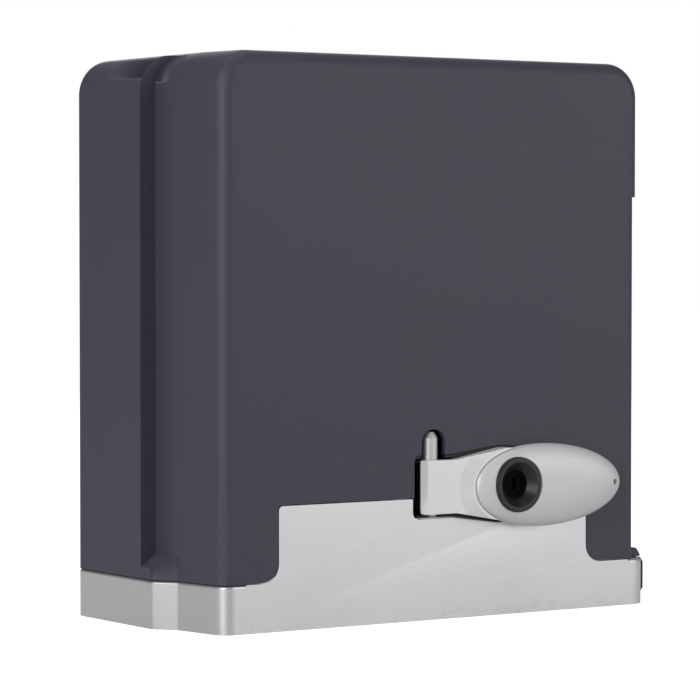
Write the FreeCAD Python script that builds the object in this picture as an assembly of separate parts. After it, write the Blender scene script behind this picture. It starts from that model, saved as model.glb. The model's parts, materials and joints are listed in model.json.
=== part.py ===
import FreeCAD, Part
import math
import os
from FreeCAD import Vector

# Sliding gate motor. Millimetres, +Z up, the front with the release lever faces -Y and the gate side
# with the output pinion faces +Y. The origin is on the bottom face, in the middle of the fixing holes.

# ---------------------------------------------------------------- driving dimensions
# base casting
BASE_WIDTH = 297.0
BASE_DEPTH = 130.2
FRONT_REACH = 68.5          # front face from the middle of the fixing holes
BAND_HEIGHT = 25.5
FLOOR = 7.0
BAND_EDGE_R = 1.6
FRONT_CORNER_R = 8.5
FRONT_RIGHT_R = 13.0        # the base's own corner under the side cap
REAR_CORNER_R = 9.0
STEP_INSET = 9.2            # how much narrower the front part is than the rear part, each side
STEP_REAR_Y = -21.0         # rear corner of the slanted step in the base
STEP_SLANT = 12.5           # length of the slanted step along Y
STEP_R = 4.0
FRONT_TAPER = 6.2           # the front part's sides close in by this much at the front
PLATE_LEFT = 99.3
PLATE_RIGHT = 112.7
PLATE_TOP = 65.5
PLATE_THICK = 7.0
PLATE_FOOT_R = 10.0
PLATE_TOP_R = 2.5
LIP_HEIGHT = 3.0
LIP_THICK = 3.0
BOLT_SPACING_X = 230.0
BOLT_SPACING_Y = 80.0
BOLT_R = 5.5
BOLT_SLOT = 26.0
BOSS_R = 13.0

# cover
HEIGHT = 302.3
COVER_WALL = 3.0
COVER_GAP = 0.3             # between the cover's rim and the base
WINDOW_GAP = 0.5            # round the front plate
TOP_R = 19.0                # upper side edges of the front part
REAR_TOP_R = 19.0           # upper side edges of the rear part
REAR_TOP_DROP = 1.0
COVER_STEP_Y = -10.3        # front end of the wide rear part
RIM_TOP = 38.7
RIM_EDGE = 32.0
SIDE_LIP = 2.0              # the right side's lip above the grip line
SIDE_LIP_Z = 228.0
FOOT_TOP = 30.0
SCREW_R = 2.0

# output axis and gears
AXIS_X = -0.8
AXIS_Z = 71.7
WORM_MODULE = 2.5
WORM_STARTS = 1
WHEEL_TEETH = 30
WORM_PITCH_R = 10.0
WHEEL_WIDTH = 16.0
WHEEL_Y = -8.0
GEAR_PLAY = 0.35            # taken off each flank, so that the pair runs free
RACK_MODULE = 4.0
PINION_TEETH = 18
PINION_WIDTH = 28.0
PINION_GAP = 3.0            # pinion behind the rear face
PRESSURE_ANGLE = math.radians(20)
SHAFT_R = 12.5
PINION_SEAT_R = 11.0
ROD_R = 4.0
RUN_FIT = 0.04              # radial clearance of a turning or sliding fit
BEARING_R = 23.5
BEARING_WIDTH = 12.0
FRONT_BEARING_Y = -38.0
REAR_BEARING_Y = 30.0
SEAL_WIDTH = 7.0
CASE_WALL = 6.0
CASE_ROOM = 4.0             # free room round the worm wheel
CASE_FRONT_Y = -24.0
CASE_REAR_Y = 28.0
CASE_COVER_THICK = 8.0
GASKET = 0.8
BOSS_WALL = 8.0
BOSS_SINK = 2.0             # end of the bearing boss inside the rear face
RIB_X = 14.0
RIB_HALF = 2.0
RIB_LOW = 26.0
RIB_HIGH = 46.0
RIB_REACH = 22.0
DOG_COUNT = 4
DOG_HEIGHT = 2.8
DOG_INNER_R = 16.0
DOG_PLAY = 3.0              # degrees, each side of a dog
CLUTCH_R = 24.0
CLUTCH_LENGTH = 14.0
SPRING_WIRE = 2.4
SPRING_TURNS = 2.5

# worm shaft and motor
WORM_BEARING_R = 16.0
WORM_BEARING_WIDTH = 10.0
LOWER_BEARING_Z = 29.0
UPPER_BEARING_Z = 107.0
FLANGE_Z = 122.0
FLANGE_THICK = 8.0
STATOR_R = 45.0
STATOR_Z = 144.0
STATOR_LENGTH = 56.0
STATOR_BORE = 24.0
AIR_GAP = 0.6
SHIELD_LENGTH = 22.0
FAN_R = 34.0
FAN_HEIGHT = 12.0

# release lever
HINGE_DEPTH = 3.8           # pin axis behind the front face
PIN_R = 4.2
PIN_TOP = 101.0
PIN_BOTTOM = 55.5
PIN_POINT = 3.2             # length of the pin's cone
PIN_FACE_R = 2.3
SHELL_RIM_SLOPE = 0.9
DOME_REACH = 20.0           # from the oval's edge to its flat middle
DOME_SHRINKS = (0.5, 2.0, 5.0, 9.0, 14.0, 19.9)
NECK_HEIGHT = 28.8
NECK_FRONT = 5.6            # how far the neck stands out of the front face
NECK_SKIN = 2.9
NECK_END_FRONT = 7.7
NECK_END_REAR = 9.0
LEVER_CLEAR = 0.6           # lever to front face
CAM_LOW = 5.6
CAM_HIGH = 9.0
CAM_STEP_COUNT = 8
LUG_R = 6.0
LUG_THICK = 3.0
POCKET_R = 13.6
OVAL_LEFT = 20.5
OVAL_RIGHT = 120.2
OVAL_TOP = 93.2
OVAL_BOTTOM = 48.0
OVAL_RIM = 3.2
OVAL_CROWN = 13.6           # crown of the shell above the front face
LOCK_X = 46.0
LOCK_R = 15.0
LOCK_BARREL_R = 8.0
LOCK_PLUG_R = 5.6
LOCK_RIM = 4.6              # depth of the ring's collar
LOCK_DISH = 4.5
LOCK_DISH_R = 12.2
SEAT_GAP = 2.7              # dark joint round the neck
SEAT_SINK = 0.5
SEAT_WALL = 1.6
SEAT_REACH = 0.8
SLOT_WIDTH = 15.4
SLOT_TOP = 102.5
NECK_WALL = 2.0
NECK_EDGE_R = 1.0
NECK_FLARE_R = 30.0
NECK_TUCK = 2.2             # how far the neck's flare stays inside the oval's height
NECK_DROP = 4.0             # how far the flare closes in again behind the oval
FLARE_SHARE = 0.4           # share of the joint's width that is left beside the flare
RAMP_REACH = 9.0
RAMP_RISE = 3.6
SHELL_SEAM = 1.6            # collar of the ramp round the shell
SHELL_GAP = 0.2
CARRIER_INSET = 3.0
SHELL_SCREW_X = (76.0, 100.0)
TIP_HOLE_INSET = 6.5
BEZEL_SLEEVE_R = 12.0
LOCK_TAIL = 6.3
TONGUE_REACH = 13.0
TONGUE_THICK = 2.4
KEEPER_THICK = 1.8
LUG_REACH = 3.6
PIN_ROOM = 8.0
LOCK_POCKET_R = 15.0
LOCK_POCKET_DEPTH = 14.0
ROD_GAP = 0.25
SEAT_SCREW_X = 22.0
NECK_LIMIT_X = 65.0

# base details
CAVITY_INSET = 6.6          # rim to the inside of the base
LIP_PLAY = 0.6
FOOT_DEPTH = 8.0
CASE_SCREW_ANGLES = (20, 58, 122, 160, 220, 320)
CASE_SCREW_R = 2.5
MOTOR_SEAT = 72.0
SADDLE_LEFT = -24.0
SADDLE_RIGHT = 74.0
SADDLE_TOP = 109.0
LEVEL_X = 126.0
LEVEL_Y = 17.0
LEVEL_SCREW_R = 4.0
INLET_X = -84.0
INLET_Y = 14.0
INLET_R = 14.0
EARTH_X = -76.0
EARTH_Y = 44.0
EARTH_SCREW_R = 2.5
CAP_PLACE = 24.5            # middle of the side cap behind the front face
CAP_WIDTH = 26.0
CAP_TOP = 25.0
CAP_LOW = 5.3
CAP_OUT = 2.7
CAP_POCKET = 8.0
SCREW_HEAD_R = 3.4
FOOT_CHAMFER = 2.5
SIDE_BLEND_R = 60.0

# drive details
SEAL_R = 20.0
BUSH_R = 15.0
KEY = 6.0
CLUTCH_PIN_R = 2.5
WASHER_THICK = 3.0
WORM_LENGTH = 33.0
JOURNAL_R = 6.0
SHAFT_TOP_Z = 241.0
TIE_BOLT_R = 2.5
TIE_BOLT_INSET = 5.0        # bolt ring inside the stator's radius
STATOR_GROOVE_COUNT = 24
STATOR_GROOVE_R = 1.6
TIE_POST_WALL = 3.0
WINDING = 9.0
WINDING_ROOM = 1.5          # end winding clear of the tie bolts' posts

# electrics
TRAY_INSET = 16.5           # board tray from the side of the base
TRAY_RIGHT = -10.0
TRAY_LOW = 134.0
TRAY_TOP_ROOM = 30.3        # board tray below the top of the cover
TRAY_Y = -34.0
BOARD_GAP = 5.0
TRANSFORMER_X = -70.0
TRANSFORMER_Y = -34.0
CAPACITOR_INSET = 44.5      # from the side of the base
CAPACITOR_Y = 0.0
CAPACITOR_R = 18.0
CAPACITOR_TOP = 88.0

# ---------------------------------------------------------------- derived places
HALF_W = BASE_WIDTH / 2
FRONT_Y = -FRONT_REACH
REAR_Y = BASE_DEPTH - FRONT_REACH
PINION_START = REAR_Y + PINION_GAP
BOSS_REAR_Y = REAR_Y - BOSS_SINK
TIE_BOLT_RING = STATOR_R - TIE_BOLT_INSET
TIE_POST_R = TIE_BOLT_R + TIE_POST_WALL
WINDING_R = TIE_BOLT_RING - TIE_POST_R - WINDING_ROOM
TRAY = (TRAY_INSET - HALF_W, TRAY_RIGHT, TRAY_LOW, HEIGHT - TRAY_TOP_ROOM)
CAPACITOR_X = HALF_W - CAPACITOR_INSET
TIP_HOLE_X = OVAL_RIGHT - TIP_HOLE_INSET
NARROW = HALF_W - STEP_INSET
STEP_FRONT_Y = STEP_REAR_Y - STEP_SLANT
WORM_PITCH = math.pi * WORM_MODULE * WORM_STARTS
WHEEL_PITCH_R = WORM_MODULE * WHEEL_TEETH / 2
WHEEL_TIP_R = WHEEL_PITCH_R + WORM_MODULE
WHEEL_ROOT_R = WHEEL_PITCH_R - 1.25 * WORM_MODULE
WORM_TIP_R = WORM_PITCH_R + WORM_MODULE
WORM_ROOT_R = WORM_PITCH_R - 1.2 * WORM_MODULE
LEAD_ANGLE = math.atan(WORM_MODULE * WORM_STARTS / (2 * WORM_PITCH_R))
WORM_X = AXIS_X + WHEEL_PITCH_R + WORM_PITCH_R
CASE_R = WHEEL_TIP_R + CASE_ROOM
BOSS_HALF = BEARING_R + BOSS_WALL
HINGE_X = AXIS_X
HINGE_Y = FRONT_Y + HINGE_DEPTH
NECK_Y = FRONT_Y - NECK_FRONT
NECK_LOW = AXIS_Z - NECK_HEIGHT / 2
NECK_TOP = AXIS_Z + NECK_HEIGHT / 2
LEVER_BACK = FRONT_Y - LEVER_CLEAR
OVAL_MID_X = (OVAL_LEFT + OVAL_RIGHT) / 2
OVAL_MID_Z = (OVAL_TOP + OVAL_BOTTOM) / 2
COVER_Z = BAND_HEIGHT + COVER_GAP
OVAL_BELLY_X = OVAL_MID_X - 5
CLUTCH_TRAVEL = CAM_HIGH - CAM_LOW
SADDLE_FRONT = FRONT_Y + COVER_WALL + 0.6
CASE_BLOCK_FRONT = FRONT_BEARING_Y - 5
WHEEL_FRONT_FACE = WHEEL_Y - WHEEL_WIDTH / 2
WHEEL_REAR_FACE = WHEEL_Y + WHEEL_WIDTH / 2
PIN_Y = WHEEL_REAR_FACE + DOG_HEIGHT + 0.3 + CLUTCH_LENGTH / 2
ROD_END = PIN_Y + CLUTCH_PIN_R + 3
SHAFT_END = PINION_START + PINION_WIDTH - 1
SHIELD_TOP = STATOR_Z + STATOR_LENGTH + SHIELD_LENGTH
LOCK_FACE = FRONT_Y - OVAL_CROWN - 1.2
CAP_Y = FRONT_Y + CAP_PLACE
FOOT_SCREW_X = (NARROW + HALF_W) / 2
X_DIR = Vector(1, 0, 0)
Y_DIR = Vector(0, 1, 0)
Z_DIR = Vector(0, 0, 1)
BIG = 500.0


# ---------------------------------------------------------------- shape helpers
def box(x0, x1, y0, y1, z0, z1):
    return Part.makeBox(x1 - x0, y1 - y0, z1 - z0, Vector(x0, y0, z0))


def rod_x(r, y, z, x0, x1):
    return Part.makeCylinder(r, x1 - x0, Vector(x0, y, z), X_DIR)


def rod_y(r, x, z, y0, y1):
    return Part.makeCylinder(r, y1 - y0, Vector(x, y0, z), Y_DIR)


def rod_z(r, x, y, z0, z1):
    return Part.makeCylinder(r, z1 - z0, Vector(x, y, z0), Z_DIR)


def ring_y(r_out, r_in, x, z, y0, y1):
    return rod_y(r_out, x, z, y0, y1).cut(rod_y(r_in, x, z, y0 - 1, y1 + 1))


def ring_z(r_out, r_in, x, y, z0, z1):
    return rod_z(r_out, x, y, z0, z1).cut(rod_z(r_in, x, y, z0 - 1, z1 + 1))


def fuse(*shapes):
    flat = [s for s in shapes if s is not None]
    return flat[0].multiFuse(flat[1:]).removeSplitter() if len(flat) > 1 else flat[0]


def cut(shape, *tools):
    return shape.cut(list(tools))


def group(shapes):
    """Separate solids that share one node."""
    return Part.makeCompound(shapes)


def rounded(corners, place):
    """Closed wire through corners (u, v, radius); place maps (u, v) into space."""
    count = len(corners)
    starts, ends, mids = [], [], []
    for i, (u, v, r) in enumerate(corners):
        here = Vector(u, v, 0)
        before = Vector(*corners[i - 1][:2], 0)
        after = Vector(*corners[(i + 1) % count][:2], 0)
        back = (before - here).normalize()
        ahead = (after - here).normalize()
        if r <= 0:
            starts.append(here)
            ends.append(here)
            mids.append(None)
            continue
        half = back.getAngle(ahead) / 2
        reach = r / math.tan(half)
        bisector = (back + ahead).normalize()
        starts.append(here + back * reach)
        ends.append(here + ahead * reach)
        mids.append(here + bisector * (r / math.sin(half) - r))
    edges = []
    for i in range(count):
        if mids[i] is not None:
            edges.append(Part.Arc(place(starts[i]), place(mids[i]), place(ends[i])).toShape())
        following = starts[(i + 1) % count]
        if ends[i].distanceToPoint(following) > 1e-6:
            edges.append(Part.LineSegment(place(ends[i]), place(following)).toShape())
    return Part.Wire(edges)


def plan(corners, z0, z1, offset=0.0):
    """Upright prism on a plan outline, grown or shrunk by offset."""
    wire = rounded(corners, lambda p: Vector(p.x, p.y, z0))
    if offset:
        wire = wire.makeOffset2D(offset)
    return Part.Face(wire).extrude(Z_DIR * (z1 - z0))


def elevation(corners, y0, y1, offset=0.0):
    """Prism along Y on a front-view outline of (x, z, radius)."""
    wire = rounded(corners, lambda p: Vector(p.x, y0, p.y))
    if offset:
        wire = wire.makeOffset2D(offset)
    return Part.Face(wire).extrude(Y_DIR * (y1 - y0))


def profile_x(corners, x0, x1):
    """Prism along X on a side-view outline of (y, z, radius)."""
    wire = rounded(corners, lambda p: Vector(x0, p.x, p.y))
    return Part.Face(wire).extrude(X_DIR * (x1 - x0))


def edges_where(shape, test):
    return [e for e in shape.Edges if test(e)]


def edge_at(edge, axis, value, tolerance=1e-3):
    low = getattr(edge.BoundBox, axis + "Min")
    high = getattr(edge.BoundBox, axis + "Max")
    return abs(low - value) < tolerance and abs(high - value) < tolerance


def screw(x, y, z, direction, head_r, head_h, shank_r, length):
    """Socket screw: head on the near side of the point, shank along direction."""
    seat = Vector(x, y, z)
    head = Part.makeCylinder(head_r, head_h, seat - direction * head_h, direction)
    socket = Part.makeCylinder(head_r * 0.5, head_h * 0.6, seat - direction * head_h, direction)
    shank = Part.makeCylinder(shank_r, length, seat, direction)
    return head.fuse(shank).cut(socket)


# ---------------------------------------------------------------- outlines
def base_outline():
    """Plan of the base: wide rear part, slanted step and tapering front part on the left."""
    return [
        (-NARROW + FRONT_TAPER, FRONT_Y, FRONT_CORNER_R),
        (HALF_W, FRONT_Y, FRONT_RIGHT_R),
        (HALF_W, REAR_Y, REAR_CORNER_R),
        (-HALF_W, REAR_Y, REAR_CORNER_R),
        (-HALF_W, STEP_REAR_Y, STEP_R),
        (-NARROW, STEP_FRONT_Y, STEP_R),
    ]


def rim_outline():
    """Plan of the cover's rim, which leaves a ledge of the base free at the right front."""
    left = base_outline()
    return [
        left[0],
        (NARROW, FRONT_Y, FRONT_CORNER_R),
        (NARROW, STEP_FRONT_Y, STEP_R),
        (HALF_W, STEP_REAR_Y, STEP_R),
        (HALF_W, REAR_Y, REAR_CORNER_R),
        left[3],
        left[4],
        left[5],
    ]


def plate_outline(gap=0.0):
    """Front plate with its flared foot, down into the band."""
    low = BAND_HEIGHT + gap
    foot = 2 * PLATE_FOOT_R
    return [
        (-PLATE_LEFT - gap, PLATE_TOP + gap, PLATE_TOP_R),
        (-PLATE_LEFT - gap, low, PLATE_FOOT_R),
        (-PLATE_LEFT - foot, low, 0),
        (-PLATE_LEFT - foot, low - FOOT_DEPTH, 0),
        (PLATE_RIGHT + foot, low - FOOT_DEPTH, 0),
        (PLATE_RIGHT + foot, low, 0),
        (PLATE_RIGHT + gap, low, PLATE_FOOT_R),
        (PLATE_RIGHT + gap, PLATE_TOP + gap, PLATE_TOP_R),
    ]


def neck_outline(grow=0.0, reach=0.0):
    """Release lever seen from the front: straight neck flaring out under the oval.

    Reach moves the hinge end out further than grow does, for the swing of the neck's corner.
    """
    half = NECK_HEIGHT / 2 + grow
    flare = (OVAL_TOP - OVAL_BOTTOM) / 2 - NECK_TUCK + grow * FLARE_SHARE
    end = flare - NECK_DROP
    left = HINGE_X - NECK_END_REAR - grow - reach
    return [
        (left, AXIS_Z + half, NECK_EDGE_R + max(grow, 0)),
        (left, AXIS_Z - half, NECK_EDGE_R + max(grow, 0)),
        (HINGE_X + 12, AXIS_Z - half, NECK_FLARE_R),
        (LOCK_X - 2, AXIS_Z - flare, NECK_FLARE_R),
        (NECK_LIMIT_X, AXIS_Z - end, 0),
        (NECK_LIMIT_X, AXIS_Z + end, 0),
        (LOCK_X - 2, AXIS_Z + flare, NECK_FLARE_R),
        (HINGE_X + 12, AXIS_Z + half, NECK_FLARE_R),
    ]


def slot_outline(grow=0.0):
    """Slot for the hinge pin, arched at the top and open into the neck's cut-out."""
    half = SLOT_WIDTH / 2 + grow
    return [
        (HINGE_X - half, AXIS_Z, 0),
        (HINGE_X + half, AXIS_Z, 0),
        (HINGE_X + half, SLOT_TOP + grow, half - 0.5),
        (HINGE_X - half, SLOT_TOP + grow, half - 0.5),
    ]


def arch_outline(half, low):
    """Round-topped doorway round the output axis, straight down to low."""
    return [
        (AXIS_X - half, low, 0),
        (AXIS_X + half, low, 0),
        (AXIS_X + half, AXIS_Z + half, half - 0.01),
        (AXIS_X - half, AXIS_Z + half, half - 0.01),
    ]


def oval_wire(y, shrink):
    """Oval with a blunt left end and a slightly pointed right end, at depth y."""
    tip = Vector(OVAL_RIGHT - shrink, y, OVAL_MID_Z)
    tail = Vector(OVAL_LEFT + shrink, y, OVAL_MID_Z)
    half = (OVAL_TOP - OVAL_BOTTOM) / 2 - shrink
    top = Vector(OVAL_BELLY_X, y, OVAL_MID_Z + half)
    low = Vector(OVAL_BELLY_X, y, OVAL_MID_Z - half)
    reach_left = Vector((OVAL_BELLY_X - tail.x) * 0.56, 0, 0)
    reach_right = Vector((tip.x - OVAL_BELLY_X) * 0.60, 0, 0)
    rise_left = Vector(0, 0, half * 0.60)
    rise_right = Vector(0, 0, half * 0.50)

    def quarter(*poles):
        curve = Part.BezierCurve()
        curve.setPoles(list(poles))
        return curve.toShape()

    return Part.Wire([
        quarter(tail, tail + rise_left, top - reach_left, top),
        quarter(top, top + reach_right, tip + rise_right, tip),
        quarter(tip, tip - rise_right, low + reach_right, low),
        quarter(low, low - reach_left, tail - rise_left, tail),
    ])


def oval_solid(levels):
    """Stack of ovals (depth, shrink) lofted along Y."""
    return Part.makeLoft([oval_wire(y, shrink) for y, shrink in levels], True, False)


# ---------------------------------------------------------------- base casting
def bolt_places():
    return [(sx * BOLT_SPACING_X / 2, sy * BOLT_SPACING_Y / 2) for sx in (-1, 1) for sy in (-1, 1)]


def levelling_places():
    return [(sx * LEVEL_X, sy * LEVEL_Y) for sx in (-1, 1) for sy in (-1, 1)]


def case_screw_places():
    ring = CASE_R + CASE_WALL
    turns = [math.radians(a) for a in CASE_SCREW_ANGLES]
    return [(AXIS_X + ring * math.cos(t), AXIS_Z + ring * math.sin(t)) for t in turns]


def lug_levels():
    return [NECK_LOW + NECK_WALL + 0.4, NECK_TOP - NECK_WALL - 0.4 - LUG_THICK]


def foot_band():
    """Band with floor, walls and the lip that centres the cover."""
    band = plan(base_outline(), 0, BAND_HEIGHT)
    band = band.makeFillet(BAND_EDGE_R, edges_where(band, lambda e: edge_at(e, "Z", BAND_HEIGHT)))
    band = band.cut(plan(rim_outline(), FLOOR, BAND_HEIGHT + 1, -CAVITY_INSET))
    lip = plan(rim_outline(), BAND_HEIGHT - 3, BAND_HEIGHT + LIP_HEIGHT, -(COVER_WALL + LIP_PLAY))
    lip = lip.cut(plan(rim_outline(), 0, HEIGHT, -CAVITY_INSET))
    doorway = elevation(arch_outline(BOSS_HALF + WINDOW_GAP + 1, FLOOR), CASE_REAR_Y, REAR_Y)
    lip = lip.cut(doorway.cut(box(-BIG, BIG, -BIG, BIG, -BIG, BAND_HEIGHT)))
    plate = elevation(plate_outline(), FRONT_Y, FRONT_Y + PLATE_THICK)
    return [band, lip, plate]


def gear_case():
    """Wheel chamber, worm tower with the motor seat, and the saddle for the release lever."""
    tower_r = WORM_BEARING_R + CASE_WALL
    outer = CASE_R + CASE_WALL
    seat = MOTOR_SEAT / 2
    return [
        rod_y(outer, AXIS_X, AXIS_Z, CASE_BLOCK_FRONT, CASE_REAR_Y),
        rod_z(tower_r, WORM_X, WHEEL_Y, FLOOR - 1, FLANGE_Z),
        box(AXIS_X - CASE_R, WORM_X + tower_r, CASE_BLOCK_FRONT, CASE_REAR_Y, FLOOR - 1, AXIS_Z),
        box(WORM_X - seat, WORM_X + seat, WHEEL_Y - seat, WHEEL_Y + seat, FLANGE_Z - 10, FLANGE_Z),
        box(SADDLE_LEFT, SADDLE_RIGHT, SADDLE_FRONT, CASE_BLOCK_FRONT + 8, FLOOR - 1, SADDLE_TOP),
    ]


def bosses():
    """Bosses for the case screws, the fixing slots and the levelling screws."""
    found = [rod_y(CASE_SCREW_R + 4, x, z, CASE_REAR_Y - 28, CASE_REAR_Y) for x, z in case_screw_places()]
    half = BOLT_SLOT / 2 - BOLT_R
    top = FLOOR + 5
    for x, y in bolt_places():
        found += [rod_z(BOSS_R, x + s * half, y, 0, top) for s in (-1, 1)]
        found.append(box(x - half, x + half, y - BOSS_R, y + BOSS_R, 0, top))
    found += [rod_z(LEVEL_SCREW_R + 3, x, y, 0, top) for x, y in levelling_places()]
    return found


def hinge_cup():
    """Outside of the round pocket in which the lever's hinge end turns."""
    wall = SEAT_WALL + 0.9
    cup = rod_z(POCKET_R + SEAT_WALL, HINGE_X, HINGE_Y, NECK_LOW - wall, NECK_TOP + wall)
    return cup.common(box(-BIG, BIG, SADDLE_FRONT, BIG, 0, HEIGHT))


def lever_recess():
    """Room in the casting for the seat, the hinge, the pin and the lock's tongue."""
    wall = SEAT_WALL
    return [
        elevation(neck_outline(SEAT_GAP + 0.3, SEAT_REACH + 0.7), FRONT_Y - 1, SADDLE_FRONT),
        hinge_cup(),
        elevation(slot_outline(wall), FRONT_Y - 1, HINGE_Y + PIN_ROOM + wall),
        rod_y(LOCK_POCKET_R, LOCK_X, AXIS_Z, FRONT_Y - 1, FRONT_Y + LOCK_POCKET_DEPTH),
    ]


def base_housing():
    body = fuse(*foot_band(), *gear_case(), *bosses())
    cuts = lever_recess()
    cuts.append(rod_y(CASE_R, AXIS_X, AXIS_Z, CASE_FRONT_Y, BIG))
    cuts.append(rod_y(BEARING_R, AXIS_X, AXIS_Z, FRONT_BEARING_Y, CASE_FRONT_Y + 1))
    cuts.append(rod_y(ROD_R + RUN_FIT, AXIS_X, AXIS_Z, FRONT_Y, CASE_FRONT_Y))
    cuts.append(rod_z(WORM_BEARING_R, WORM_X, WHEEL_Y, LOWER_BEARING_Z, FLANGE_Z + 1))
    cuts.append(rod_z(JOURNAL_R + 3, WORM_X, WHEEL_Y, LOWER_BEARING_Z - 3, FLANGE_Z))
    half = BOLT_SLOT / 2 - BOLT_R
    for x, y in bolt_places():
        slot = fuse(rod_z(BOLT_R, x - half, y, -1, BAND_HEIGHT), rod_z(BOLT_R, x + half, y, -1, BAND_HEIGHT),
                    box(x - half, x + half, y - BOLT_R, y + BOLT_R, -1, BAND_HEIGHT))
        cuts.append(slot)
    cuts += [rod_z(LEVEL_SCREW_R, x, y, -1, BAND_HEIGHT) for x, y in levelling_places()]
    cuts.append(rod_z(INLET_R, INLET_X, INLET_Y, -1, BAND_HEIGHT))
    cuts.append(box(HALF_W - CAP_POCKET, HALF_W + 1, CAP_Y - CAP_WIDTH / 2 + 3, CAP_Y + CAP_WIDTH / 2 - 3,
                    CAP_LOW + 3, CAP_TOP - 4))
    cuts.append(rod_z(SCREW_R, FOOT_SCREW_X, CAP_Y, CAP_TOP - 3, BAND_HEIGHT + 1))
    cuts += [rod_y(CASE_SCREW_R, x, z, CASE_REAR_Y - 14, CASE_REAR_Y + 1) for x, z in case_screw_places()]
    cuts.append(rod_z(EARTH_SCREW_R, EARTH_X, EARTH_Y, FLOOR - 4, FLOOR + 1))
    for x, z in seat_screw_places():
        cuts.append(rod_y(1.5, x, z, SADDLE_FRONT - 1, SADDLE_FRONT + 8))
    for x, y in motor_bolt_places():
        cuts.append(rod_z(TIE_BOLT_R, x, y, FLANGE_Z - 9, FLANGE_Z + 1))
    body = body.cut(cuts)
    for z0 in lug_levels():
        lug = rod_z(LUG_R, HINGE_X, HINGE_Y, z0, z0 + LUG_THICK)
        web = box(HINGE_X - LUG_REACH, HINGE_X + LUG_R, HINGE_Y, HINGE_Y + POCKET_R + SEAT_WALL + 1,
                  z0, z0 + LUG_THICK)
        body = body.fuse(lug.fuse(web))
    body = body.cut([rod_z(PIN_R, HINGE_X, HINGE_Y, PIN_BOTTOM, PIN_TOP),
                     rod_y(ROD_R + RUN_FIT, AXIS_X, AXIS_Z, HINGE_Y, CASE_FRONT_Y)])
    return body.removeSplitter()


def gearcase_outline_solid(y0, y1):
    body = rod_y(CASE_R + CASE_WALL, AXIS_X, AXIS_Z, y0, y1)
    pads = [rod_y(CASE_SCREW_R + 4, x, z, y0, y1) for x, z in case_screw_places()]
    return fuse(body, *pads)


def gearcase_cover():
    y0 = CASE_REAR_Y + GASKET
    body = gearcase_outline_solid(y0, y0 + CASE_COVER_THICK)
    boss = elevation(arch_outline(BOSS_HALF, BAND_HEIGHT + 1.5), y0 + 1, BOSS_REAR_Y)
    low = AXIS_Z + RIB_LOW
    rib = [(y0 + 2, AXIS_Z + RIB_HIGH, 0), (y0 + 2, low, 0), (y0 + RIB_REACH, low, 0)]
    ribs = [profile_x(rib, AXIS_X + s * RIB_X - RIB_HALF, AXIS_X + s * RIB_X + RIB_HALF) for s in (-1, 1)]
    body = fuse(body, boss, *ribs)
    spigot = ring_y(CASE_R - 0.05, CASE_R - 5, AXIS_X, AXIS_Z, CASE_REAR_Y - 4, y0 + 1)
    body = body.fuse(spigot)
    seat_end = REAR_BEARING_Y + BEARING_WIDTH
    cuts = [
        rod_y(BEARING_R, AXIS_X, AXIS_Z, y0 - 1, seat_end),
        rod_y(SHAFT_R + 2, AXIS_X, AXIS_Z, seat_end - 1, BOSS_REAR_Y + 1),
        rod_y(SEAL_R, AXIS_X, AXIS_Z, BOSS_REAR_Y - SEAL_WIDTH - 1, BOSS_REAR_Y + 1),
    ]
    cuts += [rod_y(CASE_SCREW_R + 0.3, x, z, CASE_REAR_Y, y0 + 20) for x, z in case_screw_places()]
    return body.cut(cuts).removeSplitter()


def gearcase_gasket():
    body = gearcase_outline_solid(CASE_REAR_Y, CASE_REAR_Y + GASKET)
    cuts = [rod_y(CASE_R, AXIS_X, AXIS_Z, 0, BIG)]
    cuts += [rod_y(CASE_SCREW_R + 0.3, x, z, 0, BIG) for x, z in case_screw_places()]
    return body.cut(cuts)


def gearcase_screws():
    y = CASE_REAR_Y + GASKET + CASE_COVER_THICK
    return group([screw(x, y, z, -Y_DIR, 4.2, 5.0, CASE_SCREW_R, y - CASE_REAR_Y + 12)
                  for x, z in case_screw_places()])


# ---------------------------------------------------------------- output train
def bearing_y(y, r_out, r_bore, width):
    """Ball bearing as one ring with a shallow shield groove in each face."""
    body = ring_y(r_out, r_bore + RUN_FIT, AXIS_X, AXIS_Z, y, y + width)
    third = (r_out - r_bore) / 4
    grooves = [ring_y(r_out - third, r_bore + third, AXIS_X, AXIS_Z, f - 0.7, f + 0.7)
               for f in (y, y + width)]
    return body.cut(grooves)


def output_bearings():
    return group([bearing_y(y, BEARING_R, SHAFT_R, BEARING_WIDTH)
                  for y in (FRONT_BEARING_Y, REAR_BEARING_Y)])


def output_seal():
    y0 = BOSS_REAR_Y - SEAL_WIDTH - 1
    outer = ring_y(SEAL_R, SHAFT_R + 1.4, AXIS_X, AXIS_Z, y0, y0 + SEAL_WIDTH)
    lip = ring_y(SHAFT_R + 3, SHAFT_R + RUN_FIT, AXIS_X, AXIS_Z, y0 + 3, y0 + 5)
    return outer.fuse(lip).removeSplitter()


def involute(angle):
    return math.tan(angle) - angle


def tooth_half_angle(r, module, teeth, thin):
    """Half the angle that a tooth fills at radius r, thinned by a length on each flank."""
    pitch_r = module * teeth / 2
    base_r = pitch_r * math.cos(PRESSURE_ANGLE)
    at = math.acos(min(1.0, base_r / max(r, base_r)))
    return math.pi / (2 * teeth) + involute(PRESSURE_ANGLE) - involute(at) - thin / pitch_r


def toothed_wire(y, turn, module, teeth, root, tip, thin, steps):
    """Outline of a gear round the output axis, with a gap at angle turn from +X."""
    flank = [root + (tip - root) * i / steps for i in range(steps + 1)]
    points = []
    for k in range(teeth):
        mid = turn + (k + 0.5) * 2 * math.pi / teeth
        sides = [(r, mid - tooth_half_angle(r, module, teeth, thin)) for r in flank]
        sides += [(r, mid + tooth_half_angle(r, module, teeth, thin)) for r in reversed(flank)]
        points += [Vector(AXIS_X + r * math.cos(a), y, AXIS_Z + r * math.sin(a)) for r, a in sides]
    return Part.makePolygon(points + points[:1])


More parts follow.
